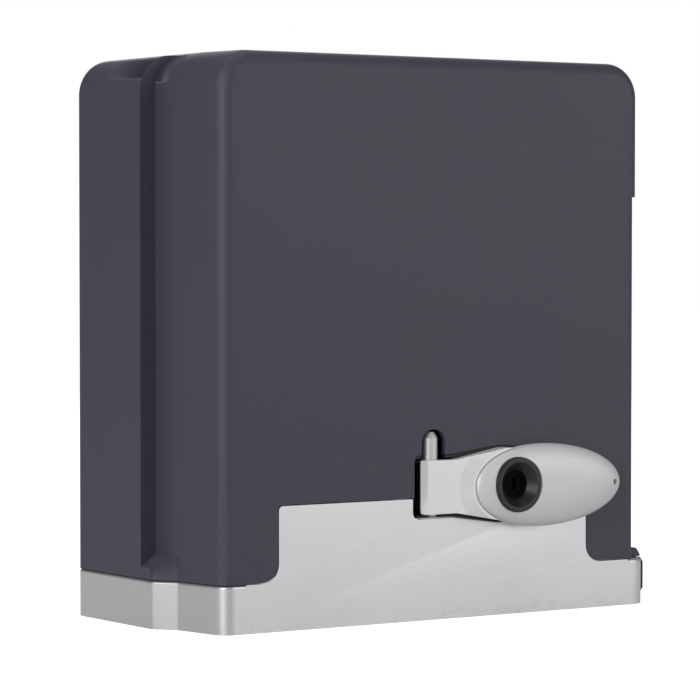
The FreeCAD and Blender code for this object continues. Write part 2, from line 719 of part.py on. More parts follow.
def dog_ring(y0, y1, phase):
    """Ring of dogs, each filling half a pitch less the play, round the output axis."""
    pitch = 360 / DOG_COUNT
    span = pitch / 2 - 2 * DOG_PLAY
    dogs = []
    for k in range(DOG_COUNT):
        start = phase + k * pitch - span / 2
        wedge = Part.makeCylinder(CLUTCH_R, y1 - y0, Vector(AXIS_X, y0, AXIS_Z), Y_DIR, span)
        wedge.rotate(Vector(AXIS_X, y0, AXIS_Z), Y_DIR, start)
        dogs.append(wedge.cut(rod_y(DOG_INNER_R, AXIS_X, AXIS_Z, y0 - 1, y1 + 1)))
    return dogs


def worm_wheel():
    """Worm wheel whose teeth lean by the worm's lead angle, dished and with dogs on its rear face."""
    lean = math.tan(LEAD_ANGLE) * WHEEL_WIDTH / 2 / WHEEL_PITCH_R
    faces = [(WHEEL_Y - WHEEL_WIDTH / 2, lean), (WHEEL_Y + WHEEL_WIDTH / 2, -lean)]
    wires = [toothed_wire(y, turn, WORM_MODULE, WHEEL_TEETH, WHEEL_ROOT_R, WHEEL_TIP_R, GEAR_PLAY, 2)
             for y, turn in faces]
    body = Part.makeLoft(wires, True, True)
    dish = ring_y(WHEEL_ROOT_R - 5, CLUTCH_R + 1, AXIS_X, AXIS_Z,
                  WHEEL_FRONT_FACE - 1, WHEEL_FRONT_FACE + 4)
    dish_rear = ring_y(WHEEL_ROOT_R - 5, CLUTCH_R + 1, AXIS_X, AXIS_Z,
                       WHEEL_REAR_FACE - 4, WHEEL_REAR_FACE + 1)
    body = body.cut([dish, dish_rear])
    hub = rod_y(CLUTCH_R - 4, AXIS_X, AXIS_Z, CASE_FRONT_Y + 3, WHEEL_FRONT_FACE + 1)
    body = body.multiFuse([hub] + dog_ring(WHEEL_REAR_FACE - 1, WHEEL_REAR_FACE + DOG_HEIGHT, 0))
    return body.cut(rod_y(BUSH_R, AXIS_X, AXIS_Z, -BIG, BIG)).removeSplitter()


def wheel_bush():
    return ring_y(BUSH_R, SHAFT_R + RUN_FIT, AXIS_X, AXIS_Z, CASE_FRONT_Y + 3, WHEEL_REAR_FACE)


def output_shaft():
    body = rod_y(SHAFT_R, AXIS_X, AXIS_Z, FRONT_BEARING_Y, PINION_START)
    nose = rod_y(PINION_SEAT_R, AXIS_X, AXIS_Z, PINION_START - 1, SHAFT_END)
    body = body.fuse(nose)
    slot_end = PIN_Y + CLUTCH_TRAVEL + CLUTCH_PIN_R + 0.3
    slot = box(AXIS_X - CLUTCH_PIN_R - RUN_FIT, AXIS_X + CLUTCH_PIN_R + RUN_FIT,
               PIN_Y - CLUTCH_PIN_R - 0.3, slot_end, AXIS_Z - BIG, AXIS_Z + BIG)
    keyway = box(AXIS_X - KEY / 2, AXIS_X + KEY / 2, PINION_START + 2, PINION_START + PINION_WIDTH - 4,
                 AXIS_Z + PINION_SEAT_R - KEY / 2, AXIS_Z + BIG)
    screw_hole = rod_y(4.0, AXIS_X, AXIS_Z, SHAFT_END - 20, SHAFT_END + 1)
    bore = rod_y(ROD_R + RUN_FIT, AXIS_X, AXIS_Z, FRONT_BEARING_Y - 1, ROD_END + CLUTCH_TRAVEL + 1)
    return body.cut([slot, keyway, screw_hole, bore])


def output_pinion():
    tip = RACK_MODULE * (PINION_TEETH / 2 + 1)
    root = RACK_MODULE * (PINION_TEETH / 2 - 1.25)
    wire = toothed_wire(PINION_START, 0, RACK_MODULE, PINION_TEETH, root, tip, 0.05, 5)
    body = Part.Face(wire).extrude(Y_DIR * PINION_WIDTH)
    y1 = PINION_START + PINION_WIDTH
    bevel = Part.makeCone(tip + 6, tip - 1.2, 7.2, Vector(AXIS_X, y1 - 7.2, AXIS_Z), Y_DIR)
    bevel_front = Part.makeCone(tip - 1.2, tip + 6, 7.2, Vector(AXIS_X, PINION_START, AXIS_Z), Y_DIR)
    middle = rod_y(tip + 6, AXIS_X, AXIS_Z, PINION_START + 7.2, y1 - 7.2)
    body = body.common(fuse(bevel, bevel_front, middle))
    recess = ring_y(root - 4, PINION_SEAT_R + 6, AXIS_X, AXIS_Z, y1 - 3, y1 + 1)
    key_slot = box(AXIS_X - KEY / 2, AXIS_X + KEY / 2, PINION_START - 1, y1 + 1,
                   AXIS_Z, AXIS_Z + PINION_SEAT_R + KEY / 2)
    return body.cut([recess, key_slot, rod_y(PINION_SEAT_R, AXIS_X, AXIS_Z, 0, BIG)])


def pinion_key():
    return box(AXIS_X - KEY / 2, AXIS_X + KEY / 2, PINION_START + 2, PINION_START + PINION_WIDTH - 4,
               AXIS_Z + PINION_SEAT_R - KEY / 2, AXIS_Z + PINION_SEAT_R + KEY / 2)


def pinion_washer():
    y = PINION_START + PINION_WIDTH
    return ring_y(PINION_SEAT_R + 4, 4.2, AXIS_X, AXIS_Z, y, y + WASHER_THICK)


def pinion_screw():
    y = PINION_START + PINION_WIDTH + WASHER_THICK
    head = Part.makeCylinder(6.5, 5.5, Vector(AXIS_X, y, AXIS_Z), Y_DIR)
    socket = Part.makeCylinder(3.0, 3.4, Vector(AXIS_X, y + 2.2, AXIS_Z), Y_DIR)
    return head.fuse(rod_y(4.0, AXIS_X, AXIS_Z, SHAFT_END - 18, y)).cut(socket)


def dog_clutch():
    y0 = WHEEL_REAR_FACE + DOG_HEIGHT + 0.3
    body = rod_y(CLUTCH_R, AXIS_X, AXIS_Z, y0, y0 + CLUTCH_LENGTH)
    groove = ring_y(CLUTCH_R + 1, CLUTCH_R - 2.5, AXIS_X, AXIS_Z, y0 + 4, y0 + CLUTCH_LENGTH - 4)
    phase = 180 / DOG_COUNT
    body = body.cut(groove).multiFuse(dog_ring(WHEEL_REAR_FACE + 0.4, y0 + 1, phase))
    body = body.cut(rod_y(SHAFT_R + RUN_FIT, AXIS_X, AXIS_Z, 0, BIG))
    return body.cut(rod_z(CLUTCH_PIN_R, AXIS_X, PIN_Y, AXIS_Z - BIG, AXIS_Z + BIG)).removeSplitter()


def clutch_pin():
    reach = CLUTCH_R - 3
    return rod_z(CLUTCH_PIN_R, AXIS_X, PIN_Y, AXIS_Z - reach, AXIS_Z + reach)


def release_rod():
    tip = HINGE_Y + CAM_LOW + ROD_GAP
    body = rod_y(ROD_R, AXIS_X, AXIS_Z, tip + ROD_R, ROD_END)
    dome = Part.makeSphere(ROD_R, Vector(AXIS_X, tip + ROD_R, AXIS_Z))
    body = body.fuse(dome).removeSplitter()
    return body.cut(rod_z(CLUTCH_PIN_R, AXIS_X, PIN_Y, 0, BIG))


def coil(r_in, wire, y0, y1, turns):
    """Compression spring of rectangular wire round the output axis."""
    rise = y1 - y0 - wire
    helix = Part.makeHelix(rise / turns, rise, r_in + wire / 2)
    half = wire / 2
    section = Part.makePolygon([Vector(r_in, 0, -half), Vector(r_in + wire, 0, -half),
                                Vector(r_in + wire, 0, half), Vector(r_in, 0, half),
                                Vector(r_in, 0, -half)])
    body = Part.Wire(helix.Edges).makePipeShell([section], True, True)
    body.rotate(Vector(0, 0, 0), X_DIR, -90)
    body.translate(Vector(AXIS_X, y0 + half, AXIS_Z))
    return body


def clutch_spring():
    y0 = WHEEL_REAR_FACE + DOG_HEIGHT + 0.3 + CLUTCH_LENGTH + CLUTCH_TRAVEL + 0.2
    return coil(SHAFT_R + RUN_FIT, SPRING_WIRE, y0, REAR_BEARING_Y - 0.3, SPRING_TURNS)


# ---------------------------------------------------------------- worm shaft and motor
def worm_groove():
    """Right-hand groove between the turns of the thread, with straight flanks in the axial plane."""
    turns = 2 * math.ceil(WORM_LENGTH / WORM_PITCH / 2) + 1
    length = turns * WORM_PITCH
    helix = Part.makeHelix(WORM_PITCH, length, WORM_PITCH_R)
    slope = math.tan(PRESSURE_ANGLE)
    top_r = WORM_TIP_R + GEAR_PLAY
    half = WORM_PITCH / 4 + GEAR_PLAY
    half_root = half - (WORM_PITCH_R - WORM_ROOT_R) * slope
    half_top = half + (top_r - WORM_PITCH_R) * slope
    section = Part.makePolygon([Vector(WORM_ROOT_R, 0, -half_root), Vector(top_r, 0, -half_top),
                                Vector(top_r, 0, half_top), Vector(WORM_ROOT_R, 0, half_root),
                                Vector(WORM_ROOT_R, 0, -half_root)])
    groove = Part.Wire(helix.Edges).makePipeShell([section], True, True)
    # an odd number of half turns below the middle brings the groove to the side away from the
    # wheel there, and so a tooth of the thread to the wheel's side
    groove.rotate(Vector(0, 0, 0), Z_DIR, 180)
    groove.translate(Vector(WORM_X, WHEEL_Y, AXIS_Z - length / 2))
    return groove


def worm_shaft():
    """Worm, journals and motor shaft in one piece, with a shoulder at each bearing."""
    low = AXIS_Z - WORM_LENGTH / 2
    worm = rod_z(WORM_TIP_R, WORM_X, WHEEL_Y, low, low + WORM_LENGTH).cut(worm_groove())
    shoulder_low = LOWER_BEARING_Z + WORM_BEARING_WIDTH + RUN_FIT
    shoulder_high = UPPER_BEARING_Z - RUN_FIT
    core = rod_z(JOURNAL_R, WORM_X, WHEEL_Y, LOWER_BEARING_Z - 1, SHAFT_TOP_Z)
    collars = [rod_z(JOURNAL_R + 2, WORM_X, WHEEL_Y, z, z + 3) for z in (shoulder_low, shoulder_high - 3)]
    return worm.multiFuse([core] + collars)


def bearing_z(z, x, y):
    body = ring_z(WORM_BEARING_R, JOURNAL_R + RUN_FIT, x, y, z, z + WORM_BEARING_WIDTH)
    grooves = [ring_z(WORM_BEARING_R - 2.5, JOURNAL_R + 2.5, x, y, f - 0.7, f + 0.7)
               for f in (z, z + WORM_BEARING_WIDTH)]
    return body.cut(grooves)


def worm_bearings():
    return group([bearing_z(z, WORM_X, WHEEL_Y)
                  for z in (LOWER_BEARING_Z, UPPER_BEARING_Z, SHIELD_TOP - WORM_BEARING_WIDTH - 2)])


def motor_bolt_places():
    reach = TIE_BOLT_RING / math.sqrt(2)
    return [(WORM_X + sx * reach, WHEEL_Y + sy * reach) for sx in (-1, 1) for sy in (-1, 1)]


def motor_flange():
    seat = MOTOR_SEAT / 2
    plate = box(WORM_X - seat, WORM_X + seat, WHEEL_Y - seat, WHEEL_Y + seat,
                FLANGE_Z, FLANGE_Z + FLANGE_THICK)
    upright = edges_where(plate, lambda e: e.Length > FLANGE_THICK - 0.1 and e.Length < FLANGE_THICK + 0.1)
    plate = plate.makeFillet(8, upright)
    cup = ring_z(STATOR_R, STATOR_R - 4, WORM_X, WHEEL_Y, FLANGE_Z + FLANGE_THICK - 1, STATOR_Z)
    disc = rod_z(STATOR_R, WORM_X, WHEEL_Y, FLANGE_Z + 2, FLANGE_Z + FLANGE_THICK)
    posts = [rod_z(TIE_POST_R, x, y, FLANGE_Z + 2, STATOR_Z) for x, y in motor_bolt_places()]
    body = fuse(plate, disc, cup, *posts)
    cuts = [rod_z(TIE_BOLT_R, x, y, 0, BIG) for x, y in motor_bolt_places()]
    cuts.append(rod_z(JOURNAL_R + 2, WORM_X, WHEEL_Y, 0, BIG))
    # vents in the cup wall
    for k in range(4):
        vent = box(STATOR_R - 8, STATOR_R + 2, -7, 7, FLANGE_Z + FLANGE_THICK + 2, STATOR_Z - 4)
        vent.rotate(Vector(0, 0, 0), Z_DIR, 90 * k)
        vent.translate(Vector(WORM_X, WHEEL_Y, 0))
        cuts.append(vent)
    return body.cut(cuts).removeSplitter()


def motor_stator():
    """Laminated stack with a row of cooling grooves round it."""
    z1 = STATOR_Z + STATOR_LENGTH
    body = ring_z(STATOR_R, STATOR_BORE, WORM_X, WHEEL_Y, STATOR_Z, z1)
    cuts = [rod_z(TIE_BOLT_R, x, y, 0, BIG) for x, y in motor_bolt_places()]
    for k in range(STATOR_GROOVE_COUNT):
        a = 2 * math.pi * (k + 0.5) / STATOR_GROOVE_COUNT
        cuts.append(rod_z(STATOR_GROOVE_R, WORM_X + STATOR_R * math.cos(a), WHEEL_Y + STATOR_R * math.sin(a),
                          STATOR_Z - 1, z1 + 1))
    return body.cut(cuts)


def motor_windings():
    """Two end windings, above and below the stack."""
    z1 = STATOR_Z + STATOR_LENGTH
    rings = []
    for z0, z in ((STATOR_Z - WINDING, STATOR_Z), (z1, z1 + WINDING)):
        ring = ring_z(WINDING_R, STATOR_BORE + 1, WORM_X, WHEEL_Y, z0, z)
        far = z0 if z0 < STATOR_Z else z
        ring = ring.makeFillet(3, edges_where(ring, lambda e: edge_at(e, "Z", far)))
        rings.append(ring)
    return group(rings)


def rotor_core():
    return ring_z(STATOR_BORE - AIR_GAP, JOURNAL_R, WORM_X, WHEEL_Y, STATOR_Z, STATOR_Z + STATOR_LENGTH)


def motor_end_shield():
    z0 = STATOR_Z + STATOR_LENGTH
    wall = ring_z(STATOR_R, STATOR_R - 4, WORM_X, WHEEL_Y, z0, SHIELD_TOP - 3)
    lid = rod_z(STATOR_R, WORM_X, WHEEL_Y, SHIELD_TOP - 6, SHIELD_TOP)
    lid = lid.makeFillet(3, edges_where(lid, lambda e: edge_at(e, "Z", SHIELD_TOP)))
    seat = rod_z(WORM_BEARING_R + 3, WORM_X, WHEEL_Y, SHIELD_TOP - WORM_BEARING_WIDTH - 2, SHIELD_TOP)
    posts = [rod_z(TIE_POST_R, x, y, z0, SHIELD_TOP - 3) for x, y in motor_bolt_places()]
    body = fuse(wall, lid, seat, *posts)
    cuts = [rod_z(WORM_BEARING_R, WORM_X, WHEEL_Y, z0, SHIELD_TOP - 2),
            rod_z(JOURNAL_R + 2, WORM_X, WHEEL_Y, z0, BIG)]
    cuts += [rod_z(TIE_BOLT_R, x, y, 0, BIG) for x, y in motor_bolt_places()]
    for k in range(8):
        vent = box(WORM_BEARING_R + 8, STATOR_R - 9, -2, 2, SHIELD_TOP - 8, SHIELD_TOP + 1)
        vent.rotate(Vector(0, 0, 0), Z_DIR, 45 * k)
        vent.translate(Vector(WORM_X, WHEEL_Y, 0))
        cuts.append(vent)
    return body.cut(cuts).removeSplitter()


def motor_tie_bolts():
    z1 = SHIELD_TOP
    return group([screw(x, y, z1, -Z_DIR, 4.0, 4.0, TIE_BOLT_R, z1 - FLANGE_Z + 8)
                  for x, y in motor_bolt_places()])


def cooling_fan():
    z0 = SHIELD_TOP + 6
    hub = ring_z(11, JOURNAL_R, WORM_X, WHEEL_Y, z0, z0 + FAN_HEIGHT)
    disc = ring_z(FAN_R, 10, WORM_X, WHEEL_Y, z0, z0 + 2)
    blades = []
    for k in range(9):
        blade = box(10, FAN_R - 1, -0.9, 0.9, z0 + 1, z0 + FAN_HEIGHT)
        blade.rotate(Vector(0, 0, 0), Z_DIR, 40 * k)
        blade.translate(Vector(WORM_X, WHEEL_Y, 0))
        blades.append(blade)
    return fuse(hub, disc, *blades)


# ---------------------------------------------------------------- release lever
def slanted_end():
    """Cutter that slants the lever's hinge end."""
    front = HINGE_X - NECK_END_FRONT
    rear = HINGE_X - NECK_END_REAR
    return plan([(front, NECK_Y, 0), (rear, LEVER_BACK, 0), (rear - 20, LEVER_BACK, 0),
                 (rear - 20, NECK_Y - 20, 0), (front, NECK_Y - 20, 0)], 0, HEIGHT)


def cam_barrel():
    """Hinge barrel whose back is a spiral heel: it drives the rod in by the same step per degree."""
    rise = CAM_HIGH - CAM_LOW
    points = []
    for i in range(CAM_STEP_COUNT + 1):
        a = math.pi / 2 * (1 + i / CAM_STEP_COUNT)
        r = CAM_LOW + rise * i / CAM_STEP_COUNT
        points.append(Vector(HINGE_X + r * math.cos(a), HINGE_Y + r * math.sin(a), 0))
    spiral = Part.BSplineCurve()
    spiral.interpolate(points)
    front = NECK_Y + NECK_SKIN - 0.4
    right = Vector(HINGE_X + CAM_LOW, HINGE_Y, 0)
    mid = Vector(HINGE_X + CAM_LOW * math.sqrt(0.5), HINGE_Y + CAM_LOW * math.sqrt(0.5), 0)
    path = [points[-1], Vector(HINGE_X - CAM_HIGH + 0.6, LEVER_BACK, 0),
            Vector(HINGE_X - CAM_HIGH + 2, front, 0), Vector(HINGE_X + CAM_LOW, front, 0), right]
    edges = [spiral.toShape()]
    edges += [Part.LineSegment(a, b).toShape() for a, b in zip(path, path[1:])]
    edges.append(Part.Arc(right, mid, points[0]).toShape())
    low, high = lug_levels()
    z0 = low + LUG_THICK + 0.3
    face = Part.Face(Part.Wire(edges))
    face.translate(Z_DIR * z0)
    return face.extrude(Z_DIR * (high - 0.3 - z0))


def lever_body():
    """Cast lever: hollow neck with the cam barrel, a ramp up to the oval and the oval's carrier."""
    neck = elevation(neck_outline(), NECK_Y, LEVER_BACK)
    hollow = elevation(neck_outline(-NECK_WALL), NECK_Y + NECK_SKIN, LEVER_BACK + 1)
    hollow = hollow.common(box(-BIG, OVAL_LEFT + 2, -BIG, BIG, 0, HEIGHT))
    ramp = oval_solid([(NECK_Y + 0.5, -RAMP_REACH), (NECK_Y - RAMP_RISE, -SHELL_SEAM)])
    ramp = ramp.common(elevation(neck_outline(), NECK_Y - 20, LEVER_BACK))
    carrier = oval_solid([(LEVER_BACK, CARRIER_INSET), (NECK_Y - 0.5, CARRIER_INSET)])
    shell_back = NECK_Y - 0.5 + OVAL_RIM + 0.1
    shell_room = oval_solid([(shell_back, -SHELL_GAP), (NECK_Y - 30, -SHELL_GAP)])
    body = fuse(neck.cut(hollow), ramp).cut(shell_room).fuse(carrier)
    body = body.cut(slanted_end()).fuse(cam_barrel())
    cuts = [
        rod_z(PIN_R + RUN_FIT, HINGE_X, HINGE_Y, 0, HEIGHT),
        rod_y(LOCK_BARREL_R, LOCK_X, AXIS_Z, -BIG, BIG),
    ]
    # pocket behind the oval keeps the casting's walls even
    cuts.append(oval_solid([(LEVER_BACK - 2.2, CARRIER_INSET + 4), (LEVER_BACK + 1, CARRIER_INSET + 4)])
                .cut(rod_y(LOCK_BARREL_R + 5, LOCK_X, AXIS_Z, -BIG, BIG)))
    for x in SHELL_SCREW_X:
        cuts.append(rod_y(1.6, x, OVAL_MID_Z, -BIG, BIG))
    return body.cut(cuts).removeSplitter()


def lever_shell():
    """Domed oval grip shell, hollow behind, with the hole for the lock and one near its tip."""
    crown = FRONT_Y - OVAL_CROWN
    back = NECK_Y - 0.5
    levels = [(back + OVAL_RIM, SHELL_RIM_SLOPE), (back, 0.0)]
    for shrink in DOME_SHRINKS:
        sink = 1 - math.sqrt(1 - (1 - shrink / DOME_REACH) ** 2)
        levels.append((crown + (back - crown) * sink, shrink))
    outer = oval_solid(levels)
    cavity = oval_solid([(back + OVAL_RIM + 1, CARRIER_INSET - 0.2), (back, CARRIER_INSET - 0.2)])
    hollow = oval_solid([(back + 0.5, 2.2), (crown + 5.0, 4.6), (crown + 2.4, 13.0)])
    posts = [rod_y(3.6, x, OVAL_MID_Z, crown + 2, back) for x in SHELL_SCREW_X]
    posts.append(rod_y(LOCK_R + 1.6, LOCK_X, AXIS_Z, crown, back))
    body = outer.cut([cavity, hollow])
    body = body.multiFuse([p.common(outer) for p in posts])
    cuts = [rod_y(BEZEL_SLEEVE_R, LOCK_X, AXIS_Z, -BIG, 0),
            rod_y(LOCK_R + 0.1, LOCK_X, AXIS_Z, LOCK_FACE - 1, LOCK_FACE + LOCK_RIM),
            rod_y(1.5, TIP_HOLE_X, OVAL_MID_Z, crown - 2, back - 1.5)]
    cuts += [rod_y(1.3, x, OVAL_MID_Z, back - 6, 0) for x in SHELL_SCREW_X]
    return body.cut(cuts).removeSplitter()


def lever_shell_screws():
    y = LEVER_BACK - 2.2
    return group([screw(x, y, OVAL_MID_Z, -Y_DIR, 2.7, 1.8, 1.3, 8) for x in SHELL_SCREW_X])


def lock_bezel():
    """Ring round the key plug, dished towards the middle."""
    sleeve = ring_y(BEZEL_SLEEVE_R, LOCK_BARREL_R, LOCK_X, AXIS_Z, LOCK_FACE + 2, NECK_Y - 0.5)
    ring = rod_y(LOCK_R, LOCK_X, AXIS_Z, LOCK_FACE, LOCK_FACE + LOCK_RIM)
    ring = ring.makeFillet(1.1, edges_where(ring, lambda e: edge_at(e, "Y", LOCK_FACE)))
    dish = Part.makeCone(LOCK_DISH_R, LOCK_BARREL_R, LOCK_DISH, Vector(LOCK_X, LOCK_FACE, AXIS_Z), Y_DIR)
    return fuse(ring, sleeve).cut([dish, rod_y(LOCK_BARREL_R, LOCK_X, AXIS_Z, -BIG, BIG)]).removeSplitter()


def lock_body():
    y1 = LEVER_BACK + LOCK_TAIL
    body = rod_y(LOCK_BARREL_R, LOCK_X, AXIS_Z, LOCK_FACE + LOCK_DISH + 0.5, y1)
    return body.cut(rod_y(LOCK_PLUG_R + RUN_FIT, LOCK_X, AXIS_Z, -BIG, BIG))


def lock_plug():
    y0 = LOCK_FACE + LOCK_DISH + 1.1
    y1 = LEVER_BACK + LOCK_TAIL + 0.4
    body = rod_y(LOCK_PLUG_R, LOCK_X, AXIS_Z, y0, y1)
    stub = box(LOCK_X - 2.5, LOCK_X + 2.5, y1 - 1, y1 + TONGUE_THICK, AXIS_Z - 2.5, AXIS_Z + 2.5)
    keyway = box(LOCK_X - 0.7, LOCK_X + 0.7, y0 - 1, y0 + 9, AXIS_Z - 3.6, AXIS_Z + 3.6)
    hole = rod_y(1.4, LOCK_X, AXIS_Z, y1 - 6, y1 + TONGUE_THICK + 1)
    return body.fuse(stub).removeSplitter().cut([keyway, hole])


def lock_cam():
    """Flat tongue on the plug's square, lying along X when the key is turned to open."""
    y0 = LEVER_BACK + LOCK_TAIL + 0.4
    tongue = box(LOCK_X, LOCK_X + TONGUE_REACH, y0, y0 + TONGUE_THICK, AXIS_Z - 3.5, AXIS_Z + 3.5)
    eye = rod_y(5.0, LOCK_X, AXIS_Z, y0, y0 + TONGUE_THICK)
    body = eye.fuse(tongue).removeSplitter()
    tip = LOCK_X + TONGUE_REACH
    corners = edges_where(body, lambda e: edge_at(e, "X", tip) and e.Length < TONGUE_THICK + 0.1)
    body = body.makeFillet(2.5, corners)
    return body.cut(box(LOCK_X - 2.5, LOCK_X + 2.5, -BIG, BIG, AXIS_Z - 2.5, AXIS_Z + 2.5))


def lock_cam_screw():
    y0 = LEVER_BACK + LOCK_TAIL + 0.4 + TONGUE_THICK
    return screw(LOCK_X, y0, AXIS_Z, -Y_DIR, 3.4, 1.6, 1.4, 5)


def lock_keeper():
    """Steel disc in the casting's pocket: the tongue passes its slot lying and is held standing."""
    y0 = SADDLE_FRONT
    body = rod_y(LOCK_POCKET_R, LOCK_X, AXIS_Z, y0, y0 + KEEPER_THICK)
    slot = box(LOCK_X - 7, LOCK_X + LOCK_POCKET_R - 1, -BIG, BIG, AXIS_Z - 5.2, AXIS_Z + 5.2)
    return body.cut([slot, rod_y(LOCK_BARREL_R + 0.8, LOCK_X, AXIS_Z, -BIG, BIG)])


def hinge_pin():
    body = rod_z(PIN_R, HINGE_X, HINGE_Y, PIN_BOTTOM, PIN_TOP - PIN_POINT)
    low = edges_where(body, lambda e: edge_at(e, "Z", PIN_BOTTOM))
    point = Part.makeCone(PIN_R, PIN_FACE_R, PIN_POINT, Vector(HINGE_X, HINGE_Y, PIN_TOP - PIN_POINT), Z_DIR)
    return body.makeChamfer(0.9, low).fuse(point)


def seat_screw_places():
    return [(SEAT_SCREW_X, AXIS_Z + s * 9.5) for s in (-1, 1)]


def lever_seat():
    """Black moulding behind the lever: a rim round the neck, the hinge cup and the pin's shroud."""
    wall = SEAT_WALL
    y0 = FRONT_Y + SEAT_SINK
    rim = elevation(neck_outline(SEAT_GAP - 0.4, SEAT_REACH), y0, SADDLE_FRONT)
    shroud = elevation(slot_outline(wall), SADDLE_FRONT, HINGE_Y + PIN_ROOM + wall)
    body = fuse(rim, hinge_cup(), shroud)
    low, high = lug_levels()
    cuts = [
        rod_z(POCKET_R, HINGE_X, HINGE_Y, NECK_LOW - 0.9, NECK_TOP + 0.9),
        elevation(slot_outline(), FRONT_Y - 1, HINGE_Y + PIN_ROOM),
        rod_z(PIN_R + 0.2, HINGE_X, HINGE_Y, 0, HEIGHT),
        box(HINGE_X - LUG_REACH - 0.3, HINGE_X + LUG_R + 0.3, HINGE_Y - LUG_R, BIG,
            low - 0.3, high + LUG_THICK + 0.3),
        rod_y(ROD_R + 0.4, AXIS_X, AXIS_Z, HINGE_Y, BIG),
        rod_y(LOCK_POCKET_R - 1.5, LOCK_X, AXIS_Z, -BIG, BIG),
    ]
    for x, z in seat_screw_places():
        cuts.append(rod_y(1.6, x, z, -BIG, BIG))
        cuts.append(rod_y(3.0, x, z, y0 - 1, y0 + 1.7))
    return body.cut(cuts).removeSplitter()


def seat_screws():
    y = FRONT_Y + SEAT_SINK + 1.7
    return group([screw(x, y, z, Y_DIR, 2.8, 1.6, 1.5, 8) for x, z in seat_screw_places()])


# ---------------------------------------------------------------- cover
def front_block(inset, right):
    """Front part of the cover as a solid, every face moved in by inset."""
    top = HEIGHT - inset
    front = FRONT_Y + inset
    body = plan([
        (-NARROW + FRONT_TAPER + inset, front, 0),
        (right - inset, front, 0),
        (right - inset, COVER_STEP_Y + 20, 0),
        (-NARROW + inset, COVER_STEP_Y + 20, 0),
        (-NARROW + inset, STEP_FRONT_Y, SIDE_BLEND_R),
    ], COVER_Z - 2 * inset, top)

    def side_top(e):
        box_ = e.BoundBox
        return edge_at(e, "Z", top) and (box_.XMax < -NARROW / 2 or box_.XMin > NARROW / 2)

    body = body.makeFillet(TOP_R - inset, edges_where(body, side_top))
    rim = edges_where(body, lambda e: edge_at(e, "Y", front) and e.BoundBox.ZMax > COVER_Z + 5)
    return body.makeFillet(FRONT_CORNER_R - inset, rim)


def rear_block(inset):
    """Wide rear part of the cover as a solid, every face moved in by inset."""
    top = HEIGHT - REAR_TOP_DROP - inset
    rear = REAR_Y - inset
    body = box(-HALF_W + inset, HALF_W - inset, COVER_STEP_Y + inset, rear, COVER_Z - 2 * inset, top)

    def side_top(e):
        return edge_at(e, "Z", top) and abs(e.BoundBox.XMax - e.BoundBox.XMin) < 1e-3

    body = body.makeFillet(REAR_TOP_R - inset, edges_where(body, side_top))
    rim = edges_where(body, lambda e: edge_at(e, "Y", rear) and e.BoundBox.ZMax > COVER_Z + 5)
    return body.makeFillet(REAR_CORNER_R - inset, rim)


def rim_skirt(inset):
    """Foot of the step: the rim comes forward to the base's slanted step under a sloping roof."""
    roof = elevation([
        (-HALF_W, COVER_Z - 2 * inset, 0),
        (-HALF_W, RIM_EDGE - inset, 0),
        (-NARROW, RIM_TOP - inset, 0),
        (NARROW, RIM_TOP - inset, 0),
        (HALF_W, RIM_EDGE - inset, 0),
        (HALF_W, COVER_Z - 2 * inset, 0),
    ], STEP_FRONT_Y - 3, COVER_STEP_Y + 6)
    body = plan(rim_outline(), COVER_Z - 2 * inset, RIM_TOP + 1, -inset).common(roof)
    middle = box(-NARROW + inset + 1, NARROW - inset - 1, -BIG, BIG, -BIG, BIG)
    return body.cut(middle).Solids


def cover_shell():
    lipped = front_block(0, NARROW + SIDE_LIP)
    shade = elevation([
        (0, 0, 0),
        (NARROW + 3 * SIDE_LIP, 0, 0),
        (NARROW + 3 * SIDE_LIP, SIDE_LIP_Z + 3 * SIDE_LIP, 0),
        (NARROW, SIDE_LIP_Z, 0),
        (0, SIDE_LIP_Z, 0),
    ], -BIG, BIG)
    outer = fuse(front_block(0, NARROW), lipped.cut(shade), rear_block(0), *rim_skirt(0))
    foot = box(NARROW - 2, HALF_W - 0.6, CAP_Y - CAP_WIDTH / 2, CAP_Y + CAP_WIDTH / 2, COVER_Z, FOOT_TOP)
    foot = foot.makeChamfer(FOOT_CHAMFER, edges_where(
        foot, lambda e: edge_at(e, "X", HALF_W - 0.6) and edge_at(e, "Z", FOOT_TOP)))
    outer = outer.fuse(foot)
    inner = fuse(front_block(COVER_WALL, NARROW), rear_block(COVER_WALL), *rim_skirt(COVER_WALL))
    bridge = box(-NARROW + COVER_WALL, NARROW - COVER_WALL, COVER_STEP_Y - 1, COVER_STEP_Y + 8,
                 COVER_Z - 3, HEIGHT - REAR_TOP_DROP - REAR_TOP_R)
    inner = inner.fuse(bridge)
    cuts = [inner]
    depth = FRONT_Y + COVER_WALL + 1
    cuts.append(elevation(plate_outline(WINDOW_GAP), FRONT_Y - 1, depth))
    cuts.append(elevation(neck_outline(SEAT_GAP, SEAT_REACH), FRONT_Y - 1, depth))
    cuts.append(elevation(slot_outline(), FRONT_Y - 1, depth))
    cuts.append(elevation(arch_outline(BOSS_HALF + WINDOW_GAP, BAND_HEIGHT - 1),
                          REAR_Y - COVER_WALL - 1, REAR_Y + 1))
    cuts.append(rod_z(SCREW_R + 0.3, FOOT_SCREW_X, CAP_Y, 0, HEIGHT / 4))
    cuts.append(rod_z(SCREW_HEAD_R + 0.3, FOOT_SCREW_X, CAP_Y, FOOT_TOP - 1.2, FOOT_TOP + 20))
    return outer.cut(cuts).removeSplitter()


def cover_screw():
    return screw(FOOT_SCREW_X, CAP_Y, FOOT_TOP - 1.2, -Z_DIR, SCREW_HEAD_R, 2.0, SCREW_R,
                 FOOT_TOP - 1.2 - CAP_TOP + 2.5)


